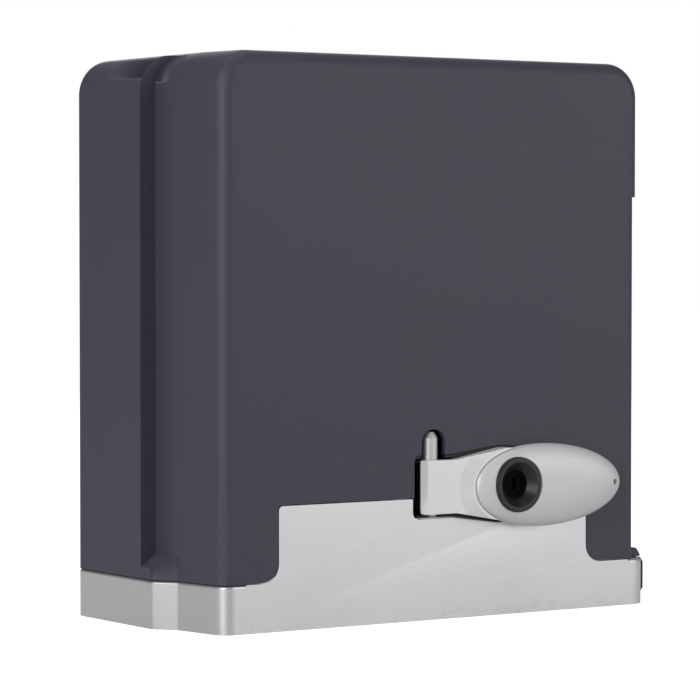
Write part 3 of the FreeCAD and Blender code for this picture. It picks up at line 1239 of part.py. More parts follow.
def side_cap():
    """Cap with cut corners on the right side, plugged into the casting's pocket."""
    half = CAP_WIDTH / 2
    cut_corner = 3.0
    face = [(CAP_Y - half, CAP_LOW, 0), (CAP_Y + half, CAP_LOW, 0), (CAP_Y + half, CAP_TOP, 0),
            (CAP_Y - half, CAP_TOP, 0)]
    plate = profile_x(face, HALF_W, HALF_W + CAP_OUT)
    outer_edges = edges_where(plate, lambda e: edge_at(e, "X", HALF_W + CAP_OUT))
    upright = edges_where(plate, lambda e: abs(e.Length - CAP_OUT) < 1e-3)
    plate = plate.makeChamfer(cut_corner * 0.8, upright)
    outer_edges = edges_where(plate, lambda e: edge_at(e, "X", HALF_W + CAP_OUT))
    plate = plate.makeChamfer(1.0, outer_edges)
    plug = box(HALF_W - CAP_POCKET + 2, HALF_W + 1, CAP_Y - half + 3, CAP_Y + half - 3,
               CAP_LOW + 3, CAP_TOP - 4)
    return plate.fuse(plug).removeSplitter()


# ---------------------------------------------------------------- electrics and small parts
def board_tray():
    """Moulded tray standing on the base and on the saddle, with a rim round the board."""
    x0, x1, z0, z1 = TRAY
    back = box(x0, x1, TRAY_Y, TRAY_Y + 3, z0, z1)
    rim = box(x0, x1, TRAY_Y - 6, TRAY_Y + 1, z0, z1).cut(box(x0 + 2, x1 - 2, -BIG, BIG, z0 + 2, z1 - 2))
    long_leg = box(x0 + 2, x0 + 12, TRAY_Y + 2.4, TRAY_Y + 9.6, FLOOR + 6, z0 + 20)
    long_foot = box(x0 + 2, x0 + 12, TRAY_Y + 7.2, TRAY_Y + 9.6, FLOOR, FLOOR + 20)
    leg_left = SADDLE_LEFT + 1
    short_leg = box(leg_left, leg_left + 12, CASE_BLOCK_FRONT - 12, CASE_BLOCK_FRONT - 1, SADDLE_TOP, z0 + 2)
    link = box(leg_left, leg_left + 12, CASE_BLOCK_FRONT - 12, TRAY_Y + 1, z0 - 8, z0 + 2)
    posts = [rod_y(3, x, z, TRAY_Y - BOARD_GAP, TRAY_Y) for x, z in board_post_places()]
    return fuse(back, rim, long_leg, long_foot, short_leg, link, *posts)


def board_post_places():
    x0, x1, z0, z1 = TRAY
    return [(x, z) for x in (x0 + 9, x1 - 9) for z in (z0 + 9, z1 - 9)]


def board_box():
    x0, x1, z0, z1 = TRAY
    y1 = TRAY_Y - BOARD_GAP
    return x0 + 4, x1 - 4, y1 - 1.6, y1, z0 + 4, z1 - 4


def control_board():
    return box(*board_box()).cut([rod_y(1.6, x, z, -BIG, BIG) for x, z in board_post_places()])


def terminal_blocks():
    """Two rows of screw terminals along the lower edge of the board."""
    x0, x1, y0, _, z0, _ = board_box()
    blocks = []
    for start, ways, pitch in ((x0 + 10, 8, 5.0), (x0 + 60, 6, 7.5)):
        body = box(start, start + ways * pitch, y0 - 11, y0, z0 + 2, z0 + 12)
        cuts = []
        for k in range(ways):
            x = start + (k + 0.5) * pitch
            cuts.append(rod_y(pitch * 0.32, x, z0 + 8, y0 - 12, y0 - 8))
            cuts.append(box(x - pitch * 0.3, x + pitch * 0.3, y0 - 8, y0 - 3, z0 + 1, z0 + 6))
        blocks.append(body.cut(cuts))
    return group(blocks)


def relays():
    x0, _, y0, _, z0, _ = board_box()
    return group([box(x0 + 14 + 24 * k, x0 + 32 + 24 * k, y0 - 16, y0, z0 + 40, z0 + 63) for k in range(3)])


def fuse_holder():
    x0, x1, y0, _, z0, z1 = board_box()
    base = box(x1 - 40, x1 - 12, y0 - 3, y0, z1 - 26, z1 - 16)
    clips = [box(x, x + 5, y0 - 10, y0 - 2, z1 - 25, z1 - 17) for x in (x1 - 40, x1 - 17)]
    glass = Part.makeCylinder(2.6, 28, Vector(x1 - 40, y0 - 6, z1 - 21), X_DIR)
    return fuse(base, *clips, glass)


def board_capacitors():
    x0, _, y0, _, _, z1 = board_box()
    return group([rod_y(6.5, x0 + 18 + 17 * k, z1 - 22, y0 - 18, y0) for k in range(2)])


def transformer():
    """Laminated core with its winding, standing on the floor."""
    x, y = TRANSFORMER_X, TRANSFORMER_Y
    core = box(x - 24, x + 24, y - 10, y + 10, FLOOR, FLOOR + 42)
    winding = box(x - 14, x + 14, y - 19, y + 19, FLOOR + 8, FLOOR + 36)
    winding = winding.makeFillet(6, edges_where(winding, lambda e: abs(e.Length - 28) < 1e-3
                                                and e.BoundBox.ZLength > 27))
    return fuse(core, winding)


def motor_capacitor():
    body = rod_z(CAPACITOR_R, CAPACITOR_X, CAPACITOR_Y, FLOOR, CAPACITOR_TOP)
    body = body.makeFillet(1.5, edges_where(body, lambda e: edge_at(e, "Z", CAPACITOR_TOP)))
    tags = [box(CAPACITOR_X + s * 5 - 0.4, CAPACITOR_X + s * 5 + 0.4, CAPACITOR_Y - 3, CAPACITOR_Y + 3,
                CAPACITOR_TOP - 1, CAPACITOR_TOP + 9) for s in (-1, 1)]
    return fuse(body, *tags)


def capacitor_clip():
    z0 = FLOOR + 24
    band = ring_z(CAPACITOR_R + 1.6, CAPACITOR_R, CAPACITOR_X, CAPACITOR_Y, z0, z0 + 12)
    x1 = CAPACITOR_X - CAPACITOR_R
    arm = box(WORM_X + WORM_BEARING_R + CASE_WALL, x1 - 0.8, CAPACITOR_Y - 6, CAPACITOR_Y + 6, z0, z0 + 12)
    return band.fuse(arm).removeSplitter()


def limit_sensor():
    """Magnetic end-of-travel sensor on top of the bearing boss, close behind the rear wall."""
    z0 = AXIS_Z + BOSS_HALF
    y1 = REAR_Y - COVER_WALL - 1.5
    body = box(AXIS_X - 15, AXIS_X + 15, y1 - 12, y1, z0 + 3, z0 + 21)
    foot = box(AXIS_X - 9, AXIS_X + 9, y1 - 12, y1 - 4, z0 - 3, z0 + 4)
    return fuse(body, foot).cut(elevation(arch_outline(BOSS_HALF, BAND_HEIGHT), 0, BIG))


def cable_grommet():
    sleeve = ring_z(INLET_R, INLET_R - 3, INLET_X, INLET_Y, 0.5, FLOOR + 2)
    flange = ring_z(INLET_R + 3, INLET_R - 3, INLET_X, INLET_Y, FLOOR, FLOOR + 2.5)
    return sleeve.fuse(flange).removeSplitter()


def levelling_screws():
    found = []
    for x, y in levelling_places():
        body = rod_z(LEVEL_SCREW_R, x, y, 0.4, 20)
        body = body.makeChamfer(1.0, edges_where(body, lambda e: edge_at(e, "Z", 0.4)))
        found.append(body.cut(box(x - LEVEL_SCREW_R, x + LEVEL_SCREW_R, y - 0.6, y + 0.6, 18, 21)))
    return group(found)


def earth_screw():
    return screw(EARTH_X, EARTH_Y, FLOOR + 1.2, -Z_DIR, 4.5, 3.0, EARTH_SCREW_R, 4.5).fuse(
        ring_z(6.0, EARTH_SCREW_R, EARTH_X, EARTH_Y, FLOOR, FLOOR + 1.2))


NODES = [
    base_housing, gearcase_cover, gearcase_gasket, gearcase_screws, output_bearings, output_seal,
    worm_wheel, wheel_bush, output_shaft, output_pinion, pinion_key, pinion_washer, pinion_screw,
    dog_clutch, clutch_pin, release_rod, clutch_spring, worm_shaft, worm_bearings, motor_flange,
    motor_stator, motor_windings, rotor_core, motor_end_shield, motor_tie_bolts, cooling_fan,
    lever_body, lever_shell, lever_shell_screws, lock_bezel, lock_body, lock_plug, lock_cam,
    lock_cam_screw, lock_keeper, hinge_pin, lever_seat, seat_screws, cover_shell, cover_screw, side_cap,
    board_tray, control_board, terminal_blocks, relays, fuse_holder, board_capacitors, transformer,
    motor_capacitor, capacitor_clip, limit_sensor, cable_grommet, levelling_screws, earth_screw,
]


def main():
    os.makedirs("parts", exist_ok=True)
    for make in NODES:
        make().exportStep(os.path.join("parts", make.__name__ + ".step"))


if __name__ == "__main__":
    main()
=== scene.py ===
"""Looks of a sliding gate motor: finishes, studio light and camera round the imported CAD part."""

import json
import math

import bmesh
import bpy
from mathutils import Matrix, Vector


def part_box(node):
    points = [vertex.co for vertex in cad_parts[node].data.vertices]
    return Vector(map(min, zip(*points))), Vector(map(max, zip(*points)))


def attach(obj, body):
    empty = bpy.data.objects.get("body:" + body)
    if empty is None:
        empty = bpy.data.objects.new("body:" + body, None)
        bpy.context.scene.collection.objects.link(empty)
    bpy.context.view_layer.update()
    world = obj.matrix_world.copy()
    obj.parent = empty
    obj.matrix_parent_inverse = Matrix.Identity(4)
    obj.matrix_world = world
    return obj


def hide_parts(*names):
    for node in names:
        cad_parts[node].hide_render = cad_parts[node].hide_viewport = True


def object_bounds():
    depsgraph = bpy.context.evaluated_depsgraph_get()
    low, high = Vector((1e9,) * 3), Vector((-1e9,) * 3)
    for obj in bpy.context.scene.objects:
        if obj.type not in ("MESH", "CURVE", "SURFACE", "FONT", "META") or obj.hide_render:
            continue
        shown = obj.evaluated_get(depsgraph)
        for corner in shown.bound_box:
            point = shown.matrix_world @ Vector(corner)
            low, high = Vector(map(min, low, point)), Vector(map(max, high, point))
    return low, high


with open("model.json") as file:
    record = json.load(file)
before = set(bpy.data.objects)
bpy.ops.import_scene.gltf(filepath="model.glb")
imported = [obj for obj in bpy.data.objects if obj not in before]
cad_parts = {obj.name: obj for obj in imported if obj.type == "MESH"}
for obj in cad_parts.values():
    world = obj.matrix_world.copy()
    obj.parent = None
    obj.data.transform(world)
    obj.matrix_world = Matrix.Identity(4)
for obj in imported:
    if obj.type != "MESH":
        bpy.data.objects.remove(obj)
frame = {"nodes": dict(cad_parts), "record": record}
CAD_LOW, CAD_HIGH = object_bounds()
NODES = frame["nodes"]


# ---------------------------------------------------------------- shader maths
class Wire:
    """A shader socket that takes part in Python arithmetic."""

    def __init__(self, net, socket):
        self.net = net
        self.socket = socket

    def _math(self, operation, *values):
        return self.net.add("ShaderNodeMath", {"operation": operation}, dict(enumerate(values)))

    def __add__(self, other):
        return self._math("ADD", self, other)

    def __radd__(self, other):
        return self._math("ADD", other, self)

    def __sub__(self, other):
        return self._math("SUBTRACT", self, other)

    def __rsub__(self, other):
        return self._math("SUBTRACT", other, self)

    def __mul__(self, other):
        return self._math("MULTIPLY", self, other)

    def __rmul__(self, other):
        return self._math("MULTIPLY", other, self)

    def __pow__(self, other):
        return self._math("POWER", self, other)

    def sine(self):
        return self._math("SINE", self)

    def absolute(self):
        return self._math("ABSOLUTE", self)

    def largest(self, other):
        return self._math("MAXIMUM", self, other)

    def step(self, low, high):
        """0 below low, 1 above high, smooth between them."""
        return self.net.add("ShaderNodeMapRange", {"interpolation_type": "SMOOTHSTEP"},
                            {0: self, 1: low, 2: high, 3: 0.0, 4: 1.0})


class Net:
    """The nodes of one material."""

    def __init__(self, name):
        self.material = bpy.data.materials.new(name)
        self.material.use_nodes = True
        self.tree = self.material.node_tree
        self.tree.nodes.clear()

    def add(self, kind, settings=None, inputs=None, output=0):
        node = self.tree.nodes.new(kind)
        for key, value in (settings or {}).items():
            setattr(node, key, value)
        for key, value in (inputs or {}).items():
            if isinstance(value, Wire):
                self.tree.links.new(value.socket, node.inputs[key])
            else:
                node.inputs[key].default_value = value
        return Wire(self, node.outputs[output]) if len(node.outputs) else None

    def place(self):
        """Object coordinates, in metres in the part's frame."""
        return self.add("ShaderNodeTexCoord", output=3)

    def axes(self):
        split = self.add("ShaderNodeSeparateXYZ", inputs={0: self.place()})
        outs = split.socket.node.outputs
        return [Wire(self, outs[i]) for i in range(3)]

    def stretched(self, scale):
        return self.add("ShaderNodeMapping", {"vector_type": "TEXTURE"},
                        {0: self.place(), 3: scale})

    def noise(self, size, detail=3.0, roughness=0.55, stretch=None, seed=0.0):
        """Noise whose features are about size metres across, from 0 to 1."""
        where = self.stretched(stretch) if stretch else self.place()
        return self.add("ShaderNodeTexNoise", {"noise_dimensions": "4D"},
                        {"Vector": where, "W": seed, "Scale": 1.0 / size, "Detail": detail,
                         "Roughness": roughness})

    def spots(self, size, spread=1.0):
        """Distance to the nearest of many scattered points, 0 at a point."""
        return self.add("ShaderNodeTexVoronoi", {}, {"Vector": self.place(), "Scale": 1.0 / size,
                                                     "Randomness": spread})

    def mix(self, factor, first, second):
        return self.add("ShaderNodeMix", {"data_type": "RGBA"}, {0: factor, 6: first, 7: second}, output=2)

    def bump(self, height, distance, strength=1.0, normal=None):
        inputs = {"Height": height, "Distance": distance, "Strength": strength}
        if normal:
            inputs["Normal"] = normal
        return self.add("ShaderNodeBump", {}, inputs)

    def surface(self, **sockets):
        names = {key.replace("_", " "): value for key, value in sockets.items()}
        shader = self.add("ShaderNodeBsdfPrincipled", {}, names)
        self.add("ShaderNodeOutputMaterial", {}, {"Surface": shader})
        return self.material


def rgb(*levels):
    """Linear colour from sRGB levels of 0 to 255."""
    def linear(level):
        v = level / 255
        return v / 12.92 if v <= 0.04045 else ((v + 0.055) / 1.055) ** 2.4
    return tuple(linear(v) for v in levels) + (1.0,)


def shade(colour, factor):
    return tuple(min(1.0, c * factor) for c in colour[:3]) + (1.0,)


# ---------------------------------------------------------------- finishes
def moulded(name, colour, roughness=0.5, grain=0.0006, depth=0.00004, mottle=0.05, coat=0.0, dust=0.0):
    """Injection-moulded plastic: spark-eroded grain, slight flow mottling, dust near the ground."""
    net = Net(name)
    grit = net.noise(grain, detail=2.0, roughness=0.6)
    cloud = net.noise(0.05, detail=3.0, seed=3.0)
    tone = net.mix(cloud, shade(colour, 1 - mottle), shade(colour, 1 + mottle))
    tone = net.mix(grit.step(0.35, 0.75) * 0.35, tone, shade(colour, 0.82))
    if dust:
        height = net.axes()[2]
        film = (1.0 - height.step(0.02, 0.16)) * net.noise(0.012, detail=5.0, seed=8.0).step(0.35, 0.8)
        tone = net.mix(film * dust, tone, rgb(118, 116, 112))
    rough = roughness + (cloud - 0.5) * 0.10 + (grit - 0.5) * 0.12
    normal = net.bump(grit, depth)
    return net.surface(Base_Color=tone, Roughness=rough, Normal=normal, Coat_Weight=coat,
                       Coat_Roughness=0.3, IOR=1.46)


def painted(name, colour, roughness=0.42, metallic=0.0, peel=0.0022, depth=0.00003, speck=0.2):
    """Powder coat on a casting: orange peel, a fine metallic speckle and patchy darkening that fades out
    over the lowest 12 mm.
    """
    net = Net(name)
    skin = net.noise(peel, detail=1.5, roughness=0.4)
    flakes = net.noise(0.00035, detail=1.0, seed=5.0)
    cloud = net.noise(0.06, detail=4.0, seed=2.0)
    tone = net.mix(cloud, shade(colour, 0.955), shade(colour, 1.03))
    tone = net.mix(flakes.step(0.55, 0.8) * speck, tone, shade(colour, 1.16))
    height = net.axes()[2]
    # patchy darkening towards the bottom, gone by 12 mm up
    low_darkening = (1.0 - height.step(0.0, 0.012)) * net.noise(0.006, detail=6.0, seed=9.0).step(0.45, 0.85)
    tone = net.mix(low_darkening * 0.35, tone, shade(colour, 0.55))
    rough = roughness + (cloud - 0.5) * 0.12 + (flakes - 0.5) * 0.08
    normal = net.bump(skin, depth)
    normal = net.bump(flakes, 0.000006, normal=normal)
    return net.surface(Base_Color=tone, Roughness=rough, Metallic=metallic, Normal=normal)


BARREL_SHADE_EDGE = 0.0001         # half the width over which the painted shade of the hinge barrel fades in


def painted_with_shaded_barrel(name, colour, barrel_shade, behind, left, roughness, metallic, peel):
    """Paint with painted shade on the hinge barrel in its pocket, dark behind one depth and left of one
    edge.
    """
    net = Net(name)
    skin = net.noise(peel, detail=1.5, roughness=0.4)
    flakes = net.noise(0.00035, detail=1.0, seed=5.0)
    cloud = net.noise(0.06, detail=4.0, seed=2.0)
    tone = net.mix(cloud, shade(colour, 0.955), shade(colour, 1.03))
    tone = net.mix(flakes.step(0.55, 0.8) * 0.2, tone, shade(colour, 1.16))
    across, depth = net.axes()[:2]
    # painted shade: the hinge barrel in its shadowed pocket is coloured near black
    barrel_shade_mask = depth.step(behind - BARREL_SHADE_EDGE, behind + BARREL_SHADE_EDGE)
    barrel_shade_mask = barrel_shade_mask * (1.0 - across.step(left - BARREL_SHADE_EDGE, left + BARREL_SHADE_EDGE))
    tone = net.mix(barrel_shade_mask, tone, barrel_shade)
    rough = roughness + (cloud - 0.5) * 0.12 + (flakes - 0.5) * 0.08
    normal = net.bump(skin, 0.00003)
    return net.surface(Base_Color=tone, Roughness=rough, Metallic=metallic, Normal=normal)


def machined(name, colour, axis="y", roughness=0.28, metallic=1.0, line=0.00025, stain=0.1):
    """Turned, ground or drawn metal: fine tool lines across one axis and a thin oil film."""
    net = Net(name)
    long = 60.0
    stretch = {"x": (1, long, long), "y": (long, 1, long), "z": (long, long, 1)}[axis]
    marks = net.noise(line, detail=2.0, roughness=0.7, stretch=stretch)
    film = net.noise(0.02, detail=4.0, seed=4.0)
    tone = net.mix(marks, shade(colour, 0.86), shade(colour, 1.1))
    tone = net.mix(film.step(0.5, 0.8) * stain, tone, shade(colour, 0.6))
    rough = roughness + (marks - 0.5) * 0.22 + (film - 0.5) * 0.14
    return net.surface(Base_Color=tone, Roughness=rough, Metallic=metallic,
                       Normal=net.bump(marks, 0.000008))


def cast(name, colour, roughness=0.55, metallic=0.9, grain=0.0011):
    """Die-cast or sand-cast skin: fine lumps and darker pits."""
    net = Net(name)
    lumps = net.noise(grain, detail=4.0, roughness=0.65)
    pits = net.spots(grain * 2.4)
    tone = net.mix(lumps, shade(colour, 0.78), shade(colour, 1.12))
    tone = net.mix((1.0 - pits.step(0.02, 0.16)) * 0.4, tone, shade(colour, 0.4))
    rough = roughness + (lumps - 0.5) * 0.25
    return net.surface(Base_Color=tone, Roughness=rough, Metallic=metallic,
                       Normal=net.bump(lumps, 0.00006))


def layered(name, colour, pitch=0.0005, metallic=0.7, roughness=0.45):
    """Stack of stamped sheets: thin dark lines between bright edges, along Z."""
    net = Net(name)
    height = net.axes()[2]
    wave = (height * (2 * math.pi / pitch)).sine()
    edge = wave.step(-0.2, 0.7)
    blotch = net.noise(0.01, detail=4.0)
    tone = net.mix(edge, shade(colour, 0.35), colour)
    tone = net.mix(blotch.step(0.45, 0.8) * 0.4, tone, shade(colour, 0.5))
    rough = roughness + (blotch - 0.5) * 0.2
    return net.surface(Base_Color=tone, Roughness=rough, Metallic=metallic, Normal=net.bump(edge, 0.00005))


def wound(name, colour, middle, pitch=0.0011):
    """Varnished end winding: strands that run round the motor's axis, with painted highlights on their
    crowns and painted shade between them.
    """
    net = Net(name)
    x, y, z = net.axes()
    dx = x - middle[0]
    dy = y - middle[1]
    radius = (dx * dx + dy * dy) ** 0.5
    wander = net.noise(0.008, detail=3.0) * 0.0016
    strand = ((radius + z * 0.6 + wander) * (2 * math.pi / pitch)).sine()
    # painted highlight on each strand's crown, painted shade in the grooves between strands
    lit = strand.step(-0.9, 0.8)
    tone = net.mix(lit, shade(colour, 0.25), colour)
    return net.surface(Base_Color=tone, Roughness=0.3 + lit * 0.1, Metallic=0.55,
                       Coat_Weight=0.5, Coat_Roughness=0.15, Normal=net.bump(lit, 0.0002))


def circuit(name, mask, copper):
    """Solder mask with copper tracks that show through as lighter lines and pads."""
    net = Net(name)
    x, _, z = net.axes()
    cell = net.add("ShaderNodeTexVoronoi", {"distance": "MANHATTAN"},
                   {"Vector": net.place(), "Scale": 1 / 0.009, "Randomness": 0.85})
    wave = ((x + cell * 0.004) * (2 * math.pi / 0.0032)).sine().absolute()
    other = ((z + cell * 0.004) * (2 * math.pi / 0.0045)).sine().absolute()
    track = (1.0 - wave.step(0.12, 0.3)).largest(1.0 - other.step(0.10, 0.25))
    pads = 1.0 - net.spots(0.0054, 0.4).step(0.14, 0.2)
    tone = net.mix(track * 0.6, mask, shade(mask, 2.1))
    tone = net.mix(pads * 0.8, tone, copper)
    return net.surface(Base_Color=tone, Roughness=0.32 - pads * 0.08, Metallic=pads * 0.7,
                       Coat_Weight=0.3, Coat_Roughness=0.2, Normal=net.bump(track, 0.00003))


def fibre(name, colour):
    """Oiled gasket paper."""
    net = Net(name)
    hair = net.noise(0.0008, detail=5.0, roughness=0.8, stretch=(8, 1, 1))
    tone = net.mix(hair, shade(colour, 0.7), shade(colour, 1.2))
    return net.surface(Base_Color=tone, Roughness=0.7 + (hair - 0.5) * 0.2, Normal=net.bump(hair, 0.00003))


MOTOR_AXIS = tuple((a + b) / 2 for a, b in zip(*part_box("rotor_core")))

FINISHES = {
    "grey_paint": painted("coated_casting", rgb(214, 215, 216), 0.36, 0.92),
    "cover_grey": moulded("cover_plastic", rgb(59, 60, 72), 0.5, depth=0.00003, dust=0.05),
    "shell_grey": painted("grip_paint", rgb(211, 213, 213), 0.42, 0.2, peel=0.0014, speck=0.3),
    "black_plastic": moulded("black_moulding", rgb(10, 11, 14), 0.5),
    "bright_steel": machined("ground_steel", rgb(200, 202, 205), "z"),
    "gear_steel": machined("hobbed_steel", rgb(158, 160, 162), "y", 0.34),
    "zinc_steel": machined("zinc_plate", rgb(196, 196, 190), "z", 0.36),
    "wheel_bronze": machined("gear_bronze", rgb(186, 142, 84), "y", 0.32),
    "bare_aluminium": cast("cast_aluminium", rgb(190, 191, 193), 0.5),
    "lamination_steel": layered("stamped_sheets", rgb(118, 119, 122)),
    "copper_winding": wound("varnished_copper", rgb(176, 92, 44), MOTOR_AXIS),
    "seal_rubber": moulded("seal_rubber", rgb(22, 22, 23), 0.62, grain=0.0009),
    "gasket_paper": fibre("gasket_paper", rgb(128, 118, 92)),
    "board_green": circuit("solder_mask", rgb(24, 92, 52), rgb(196, 178, 120)),
    "tray_grey": moulded("tray_plastic", rgb(118, 120, 124), 0.5, depth=0.00004),
    "terminal_green": moulded("terminal_plastic", rgb(52, 132, 84), 0.4),
    "relay_blue": moulded("relay_case", rgb(42, 74, 150), 0.35, depth=0.00001),
    "lock_black": moulded("lock_ring", rgb(22, 24, 28), 0.4, depth=0.00001, coat=0.1),
    "lock_zinc": machined("lock_metal", rgb(11, 12, 15), "y", 0.5),
    "can_aluminium": machined("drawn_can", rgb(196, 198, 202), "z", 0.3),
    "fan_plastic": moulded("fan_plastic", rgb(40, 40, 43), 0.45),
}
SHADED_BARREL_FRONT = -0.0688      # the hinge barrel gets painted shade behind this depth
SHADED_BARREL_RIGHT = 0.006        # and left of this edge
SLOT_OF = {part["node"]: part["material_slot"] for part in frame["record"]["subparts"]}
SPECIAL = {
    # the near-black colour below is painted shade on the hinge barrel
    "lever_body": painted_with_shaded_barrel("lever_casting", rgb(228, 230, 229), rgb(24, 25, 28),
                                      SHADED_BARREL_FRONT, SHADED_BARREL_RIGHT, 0.38, 0.3, 0.0016),
    "hinge_pin": machined("satin_pin", rgb(206, 208, 208), "z", 0.42, metallic=0.45, stain=0.05),
}

for node, thing in NODES.items():
    finish = SPECIAL.get(node) or FINISHES[SLOT_OF[node]]
    thing.data.materials.clear()
    thing.data.materials.append(finish)


# ---------------------------------------------------------------- mesh helpers
def mm(*values):
    return tuple(v / 1000 for v in values)


def box_mm(node):
    low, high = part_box(node)
    return [v * 1000 for v in low], [v * 1000 for v in high]


def thing_from(name, shape):
    mesh = bpy.data.meshes.new(name)
    shape.to_mesh(mesh)
    shape.free()
    thing = bpy.data.objects.new(name, mesh)
    bpy.context.collection.objects.link(thing)
    return thing


def merged_copy(node):
    """Closed copy of a node's mesh, which comes as loose triangles."""
    shape = bmesh.new()
    shape.from_mesh(NODES[node].data)
    bmesh.ops.remove_doubles(shape, verts=shape.verts, dist=1e-6)
    return shape


def slab(outline, reach):
    """Closed solid from a flat outline, drawn out by a reach."""
    shape = bmesh.new()
    face = shape.faces.new([shape.verts.new(mm(*point)) for point in outline])
    grown = bmesh.ops.extrude_face_region(shape, geom=[face], use_keep_orig=True)["geom"]
    ends = [item for item in grown if isinstance(item, bmesh.types.BMVert)]
    bmesh.ops.translate(shape, vec=mm(*reach), verts=ends)
    bmesh.ops.recalc_face_normals(shape, faces=shape.faces)
    return shape


def front_slab(outline, y0, y1):
    """Solid between two depths on a front outline of (x, z)."""
    return slab([(x, y0, z) for x, z in outline], (0, y1 - y0, 0))


def drum(x, z, radius, y0, y1, segments=96):
    """Cylinder along the depth."""
    shape = bmesh.new()
    place = Matrix.Translation(mm(x, (y0 + y1) / 2, z)) @ Matrix.Rotation(math.pi / 2, 4, "X")
    bmesh.ops.create_cone(shape, cap_ends=True, segments=segments, radius1=radius / 1000,
                          radius2=radius / 1000, depth=(y1 - y0) / 1000, matrix=place)
    return shape


def applied(thing):
    """Works an object's modifiers into its mesh."""
    graph = bpy.context.evaluated_depsgraph_get()
    mesh = bpy.data.meshes.new_from_object(thing.evaluated_get(graph))
    thing.modifiers.clear()
    thing.data = mesh


def join_or_cut(thing, shapes, operation):
    tools = [thing_from("tool", shape) for shape in shapes]
    for tool in tools:
        step = thing.modifiers.new("step", "BOOLEAN")
        step.operation = operation
        step.solver = "EXACT"
        step.object = tool
    applied(thing)
    for tool in tools:
        bpy.data.objects.remove(tool, do_unlink=True)


def finished(thing, body, finish, crease=28):
    """Makes flat faces whole, shades the piece and gives it its finish and body."""
    shape = bmesh.new()
    shape.from_mesh(thing.data)
    bmesh.ops.dissolve_limit(shape, angle_limit=math.radians(0.2), verts=shape.verts,
                             edges=shape.edges, delimit={"NORMAL"})
    shape.to_mesh(thing.data)
    shape.free()
    mesh = thing.data
    mesh.polygons.foreach_set("use_smooth", [True] * len(mesh.polygons))
    mesh.set_sharp_from_angle(angle=math.radians(crease))
    even = thing.modifiers.new("even", "WEIGHTED_NORMAL")
    even.keep_sharp = True
    even.weight = 100
    applied(thing)
    thing.data.materials.clear()
    thing.data.materials.append(finish)
    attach(thing, body)


# ---------------------------------------------------------------- front plate and its window
SEAT_BEHIND = 0.5           # the lever's seat starts this far behind the cover's front
FRONT = box_mm("lever_seat")[0][1] - SEAT_BEHIND
WALL = 3.0
BEHIND_WALL = 0.3           # the plate is cut back to here behind the cover's wall
INFILL_RISE = 3.0           # the infill ends this far above the plate
PLATE_EDGE = 102.6          # right edge of the plate
PLATE_OLD_END = 124.0       # past the foot that the plate's old edge stood on
PLATE_HIGH = 65.5
BAND_TOP = 25.5
FOOT_R = 10.0
GAP = 0.5                   # between the plate and the cover's infill
FOOT_STEPS = 12
PAST = 1.0                  # how far a cut runs past what it cuts


def foot_line(gap):
    """Flare at the foot of the plate's right edge, as (x, z) from its top to the band."""
    turns = [math.radians(180 + 90 * i / FOOT_STEPS) for i in range(FOOT_STEPS + 1)]
    return [(PLATE_EDGE + FOOT_R + (FOOT_R - gap) * math.cos(a),
             BAND_TOP + FOOT_R + (FOOT_R - gap) * math.sin(a)) for a in turns]


def trimmed_housing():
    """The housing with the plate's right side set back to its real width."""
    high = PLATE_HIGH + PAST
    outline = [(PLATE_EDGE, high)] + foot_line(0.0)
    outline += [(PLATE_OLD_END, BAND_TOP), (PLATE_OLD_END, high)]
    thing = thing_from("housing", merged_copy("base_housing"))
    join_or_cut(thing, [front_slab(outline, FRONT - PAST, FRONT + WALL + BEHIND_WALL)], "DIFFERENCE")
    finished(thing, "base", FINISHES["grey_paint"])
    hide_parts("base_housing")


def filled_cover():
    """The cover with its front wall carried on to the plate's right edge.

    The infill shares both planes of the wall, and the union leaves flat bits of no thickness there.
    """
    high = PLATE_HIGH + INFILL_RISE
    outline = [(PLATE_EDGE + GAP, high)] + foot_line(GAP)
    outline += [(PLATE_OLD_END, BAND_TOP + GAP), (PLATE_OLD_END, high)]
    thing = thing_from("cover", merged_copy("cover_shell"))
    join_or_cut(thing, [front_slab(outline, FRONT, FRONT + WALL)], "UNION")
    finished(thing, "cover", FINISHES["cover_grey"])
    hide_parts("cover_shell")


# ---------------------------------------------------------------- grip shell of the lever
SHELL_LOW, SHELL_HIGH = box_mm("lever_shell")
LOCK_LOW, LOCK_HIGH = box_mm("lock_bezel")
SHELL_X = (SHELL_LOW[0] + SHELL_HIGH[0]) / 2
SHELL_Z = (SHELL_LOW[2] + SHELL_HIGH[2]) / 2
HALF_LONG = (SHELL_HIGH[0] - SHELL_LOW[0]) / 2
HALF_HIGH = (SHELL_HIGH[2] - SHELL_LOW[2]) / 2
BELLY_X = SHELL_X - 5       # the grip is highest a little towards the hinge
RIM_DEPTH = 3.2
LIP = 0.2
QUARTER = 28                # points on a quarter of the outline
DOME_STEPS = 18
DOME_SHOULDER = 3           # exponents of the dome's section
DOME_CROWN = 2.3
RIM_INSET = 0.9             # rear edge of the rim inside the outline
HOLLOW_INSET = 2.8          # hollow behind the dome inside the outline
LOCK_FIT = 0.08
LOCK_RIM = 4.6
LOCK_LEDGE = 2.9
TIP_HOLE_INSET = 6.5
TIP_HOLE_R = 1.5
TIP_HOLE_FLOOR = 1.5        # metal left between the hole and the rim's front
CLEAR = 5                   # how far a bore runs past the grip


def quarter(end, reach, rise):
    """Upper outline from an end of the grip up to its belly."""
    span = (BELLY_X - end) * reach
    poles = ((end, 0.0), (end, HALF_HIGH * rise), (BELLY_X - span, HALF_HIGH), (BELLY_X, HALF_HIGH))
    points = []
    for i in range(QUARTER):
        t = i / QUARTER
        shares = ((1 - t) ** 3, 3 * t * (1 - t) ** 2, 3 * t * t * (1 - t), t ** 3)
        points.append([sum(share * pole[k] for share, pole in zip(shares, poles)) for k in (0, 1)])
    return points


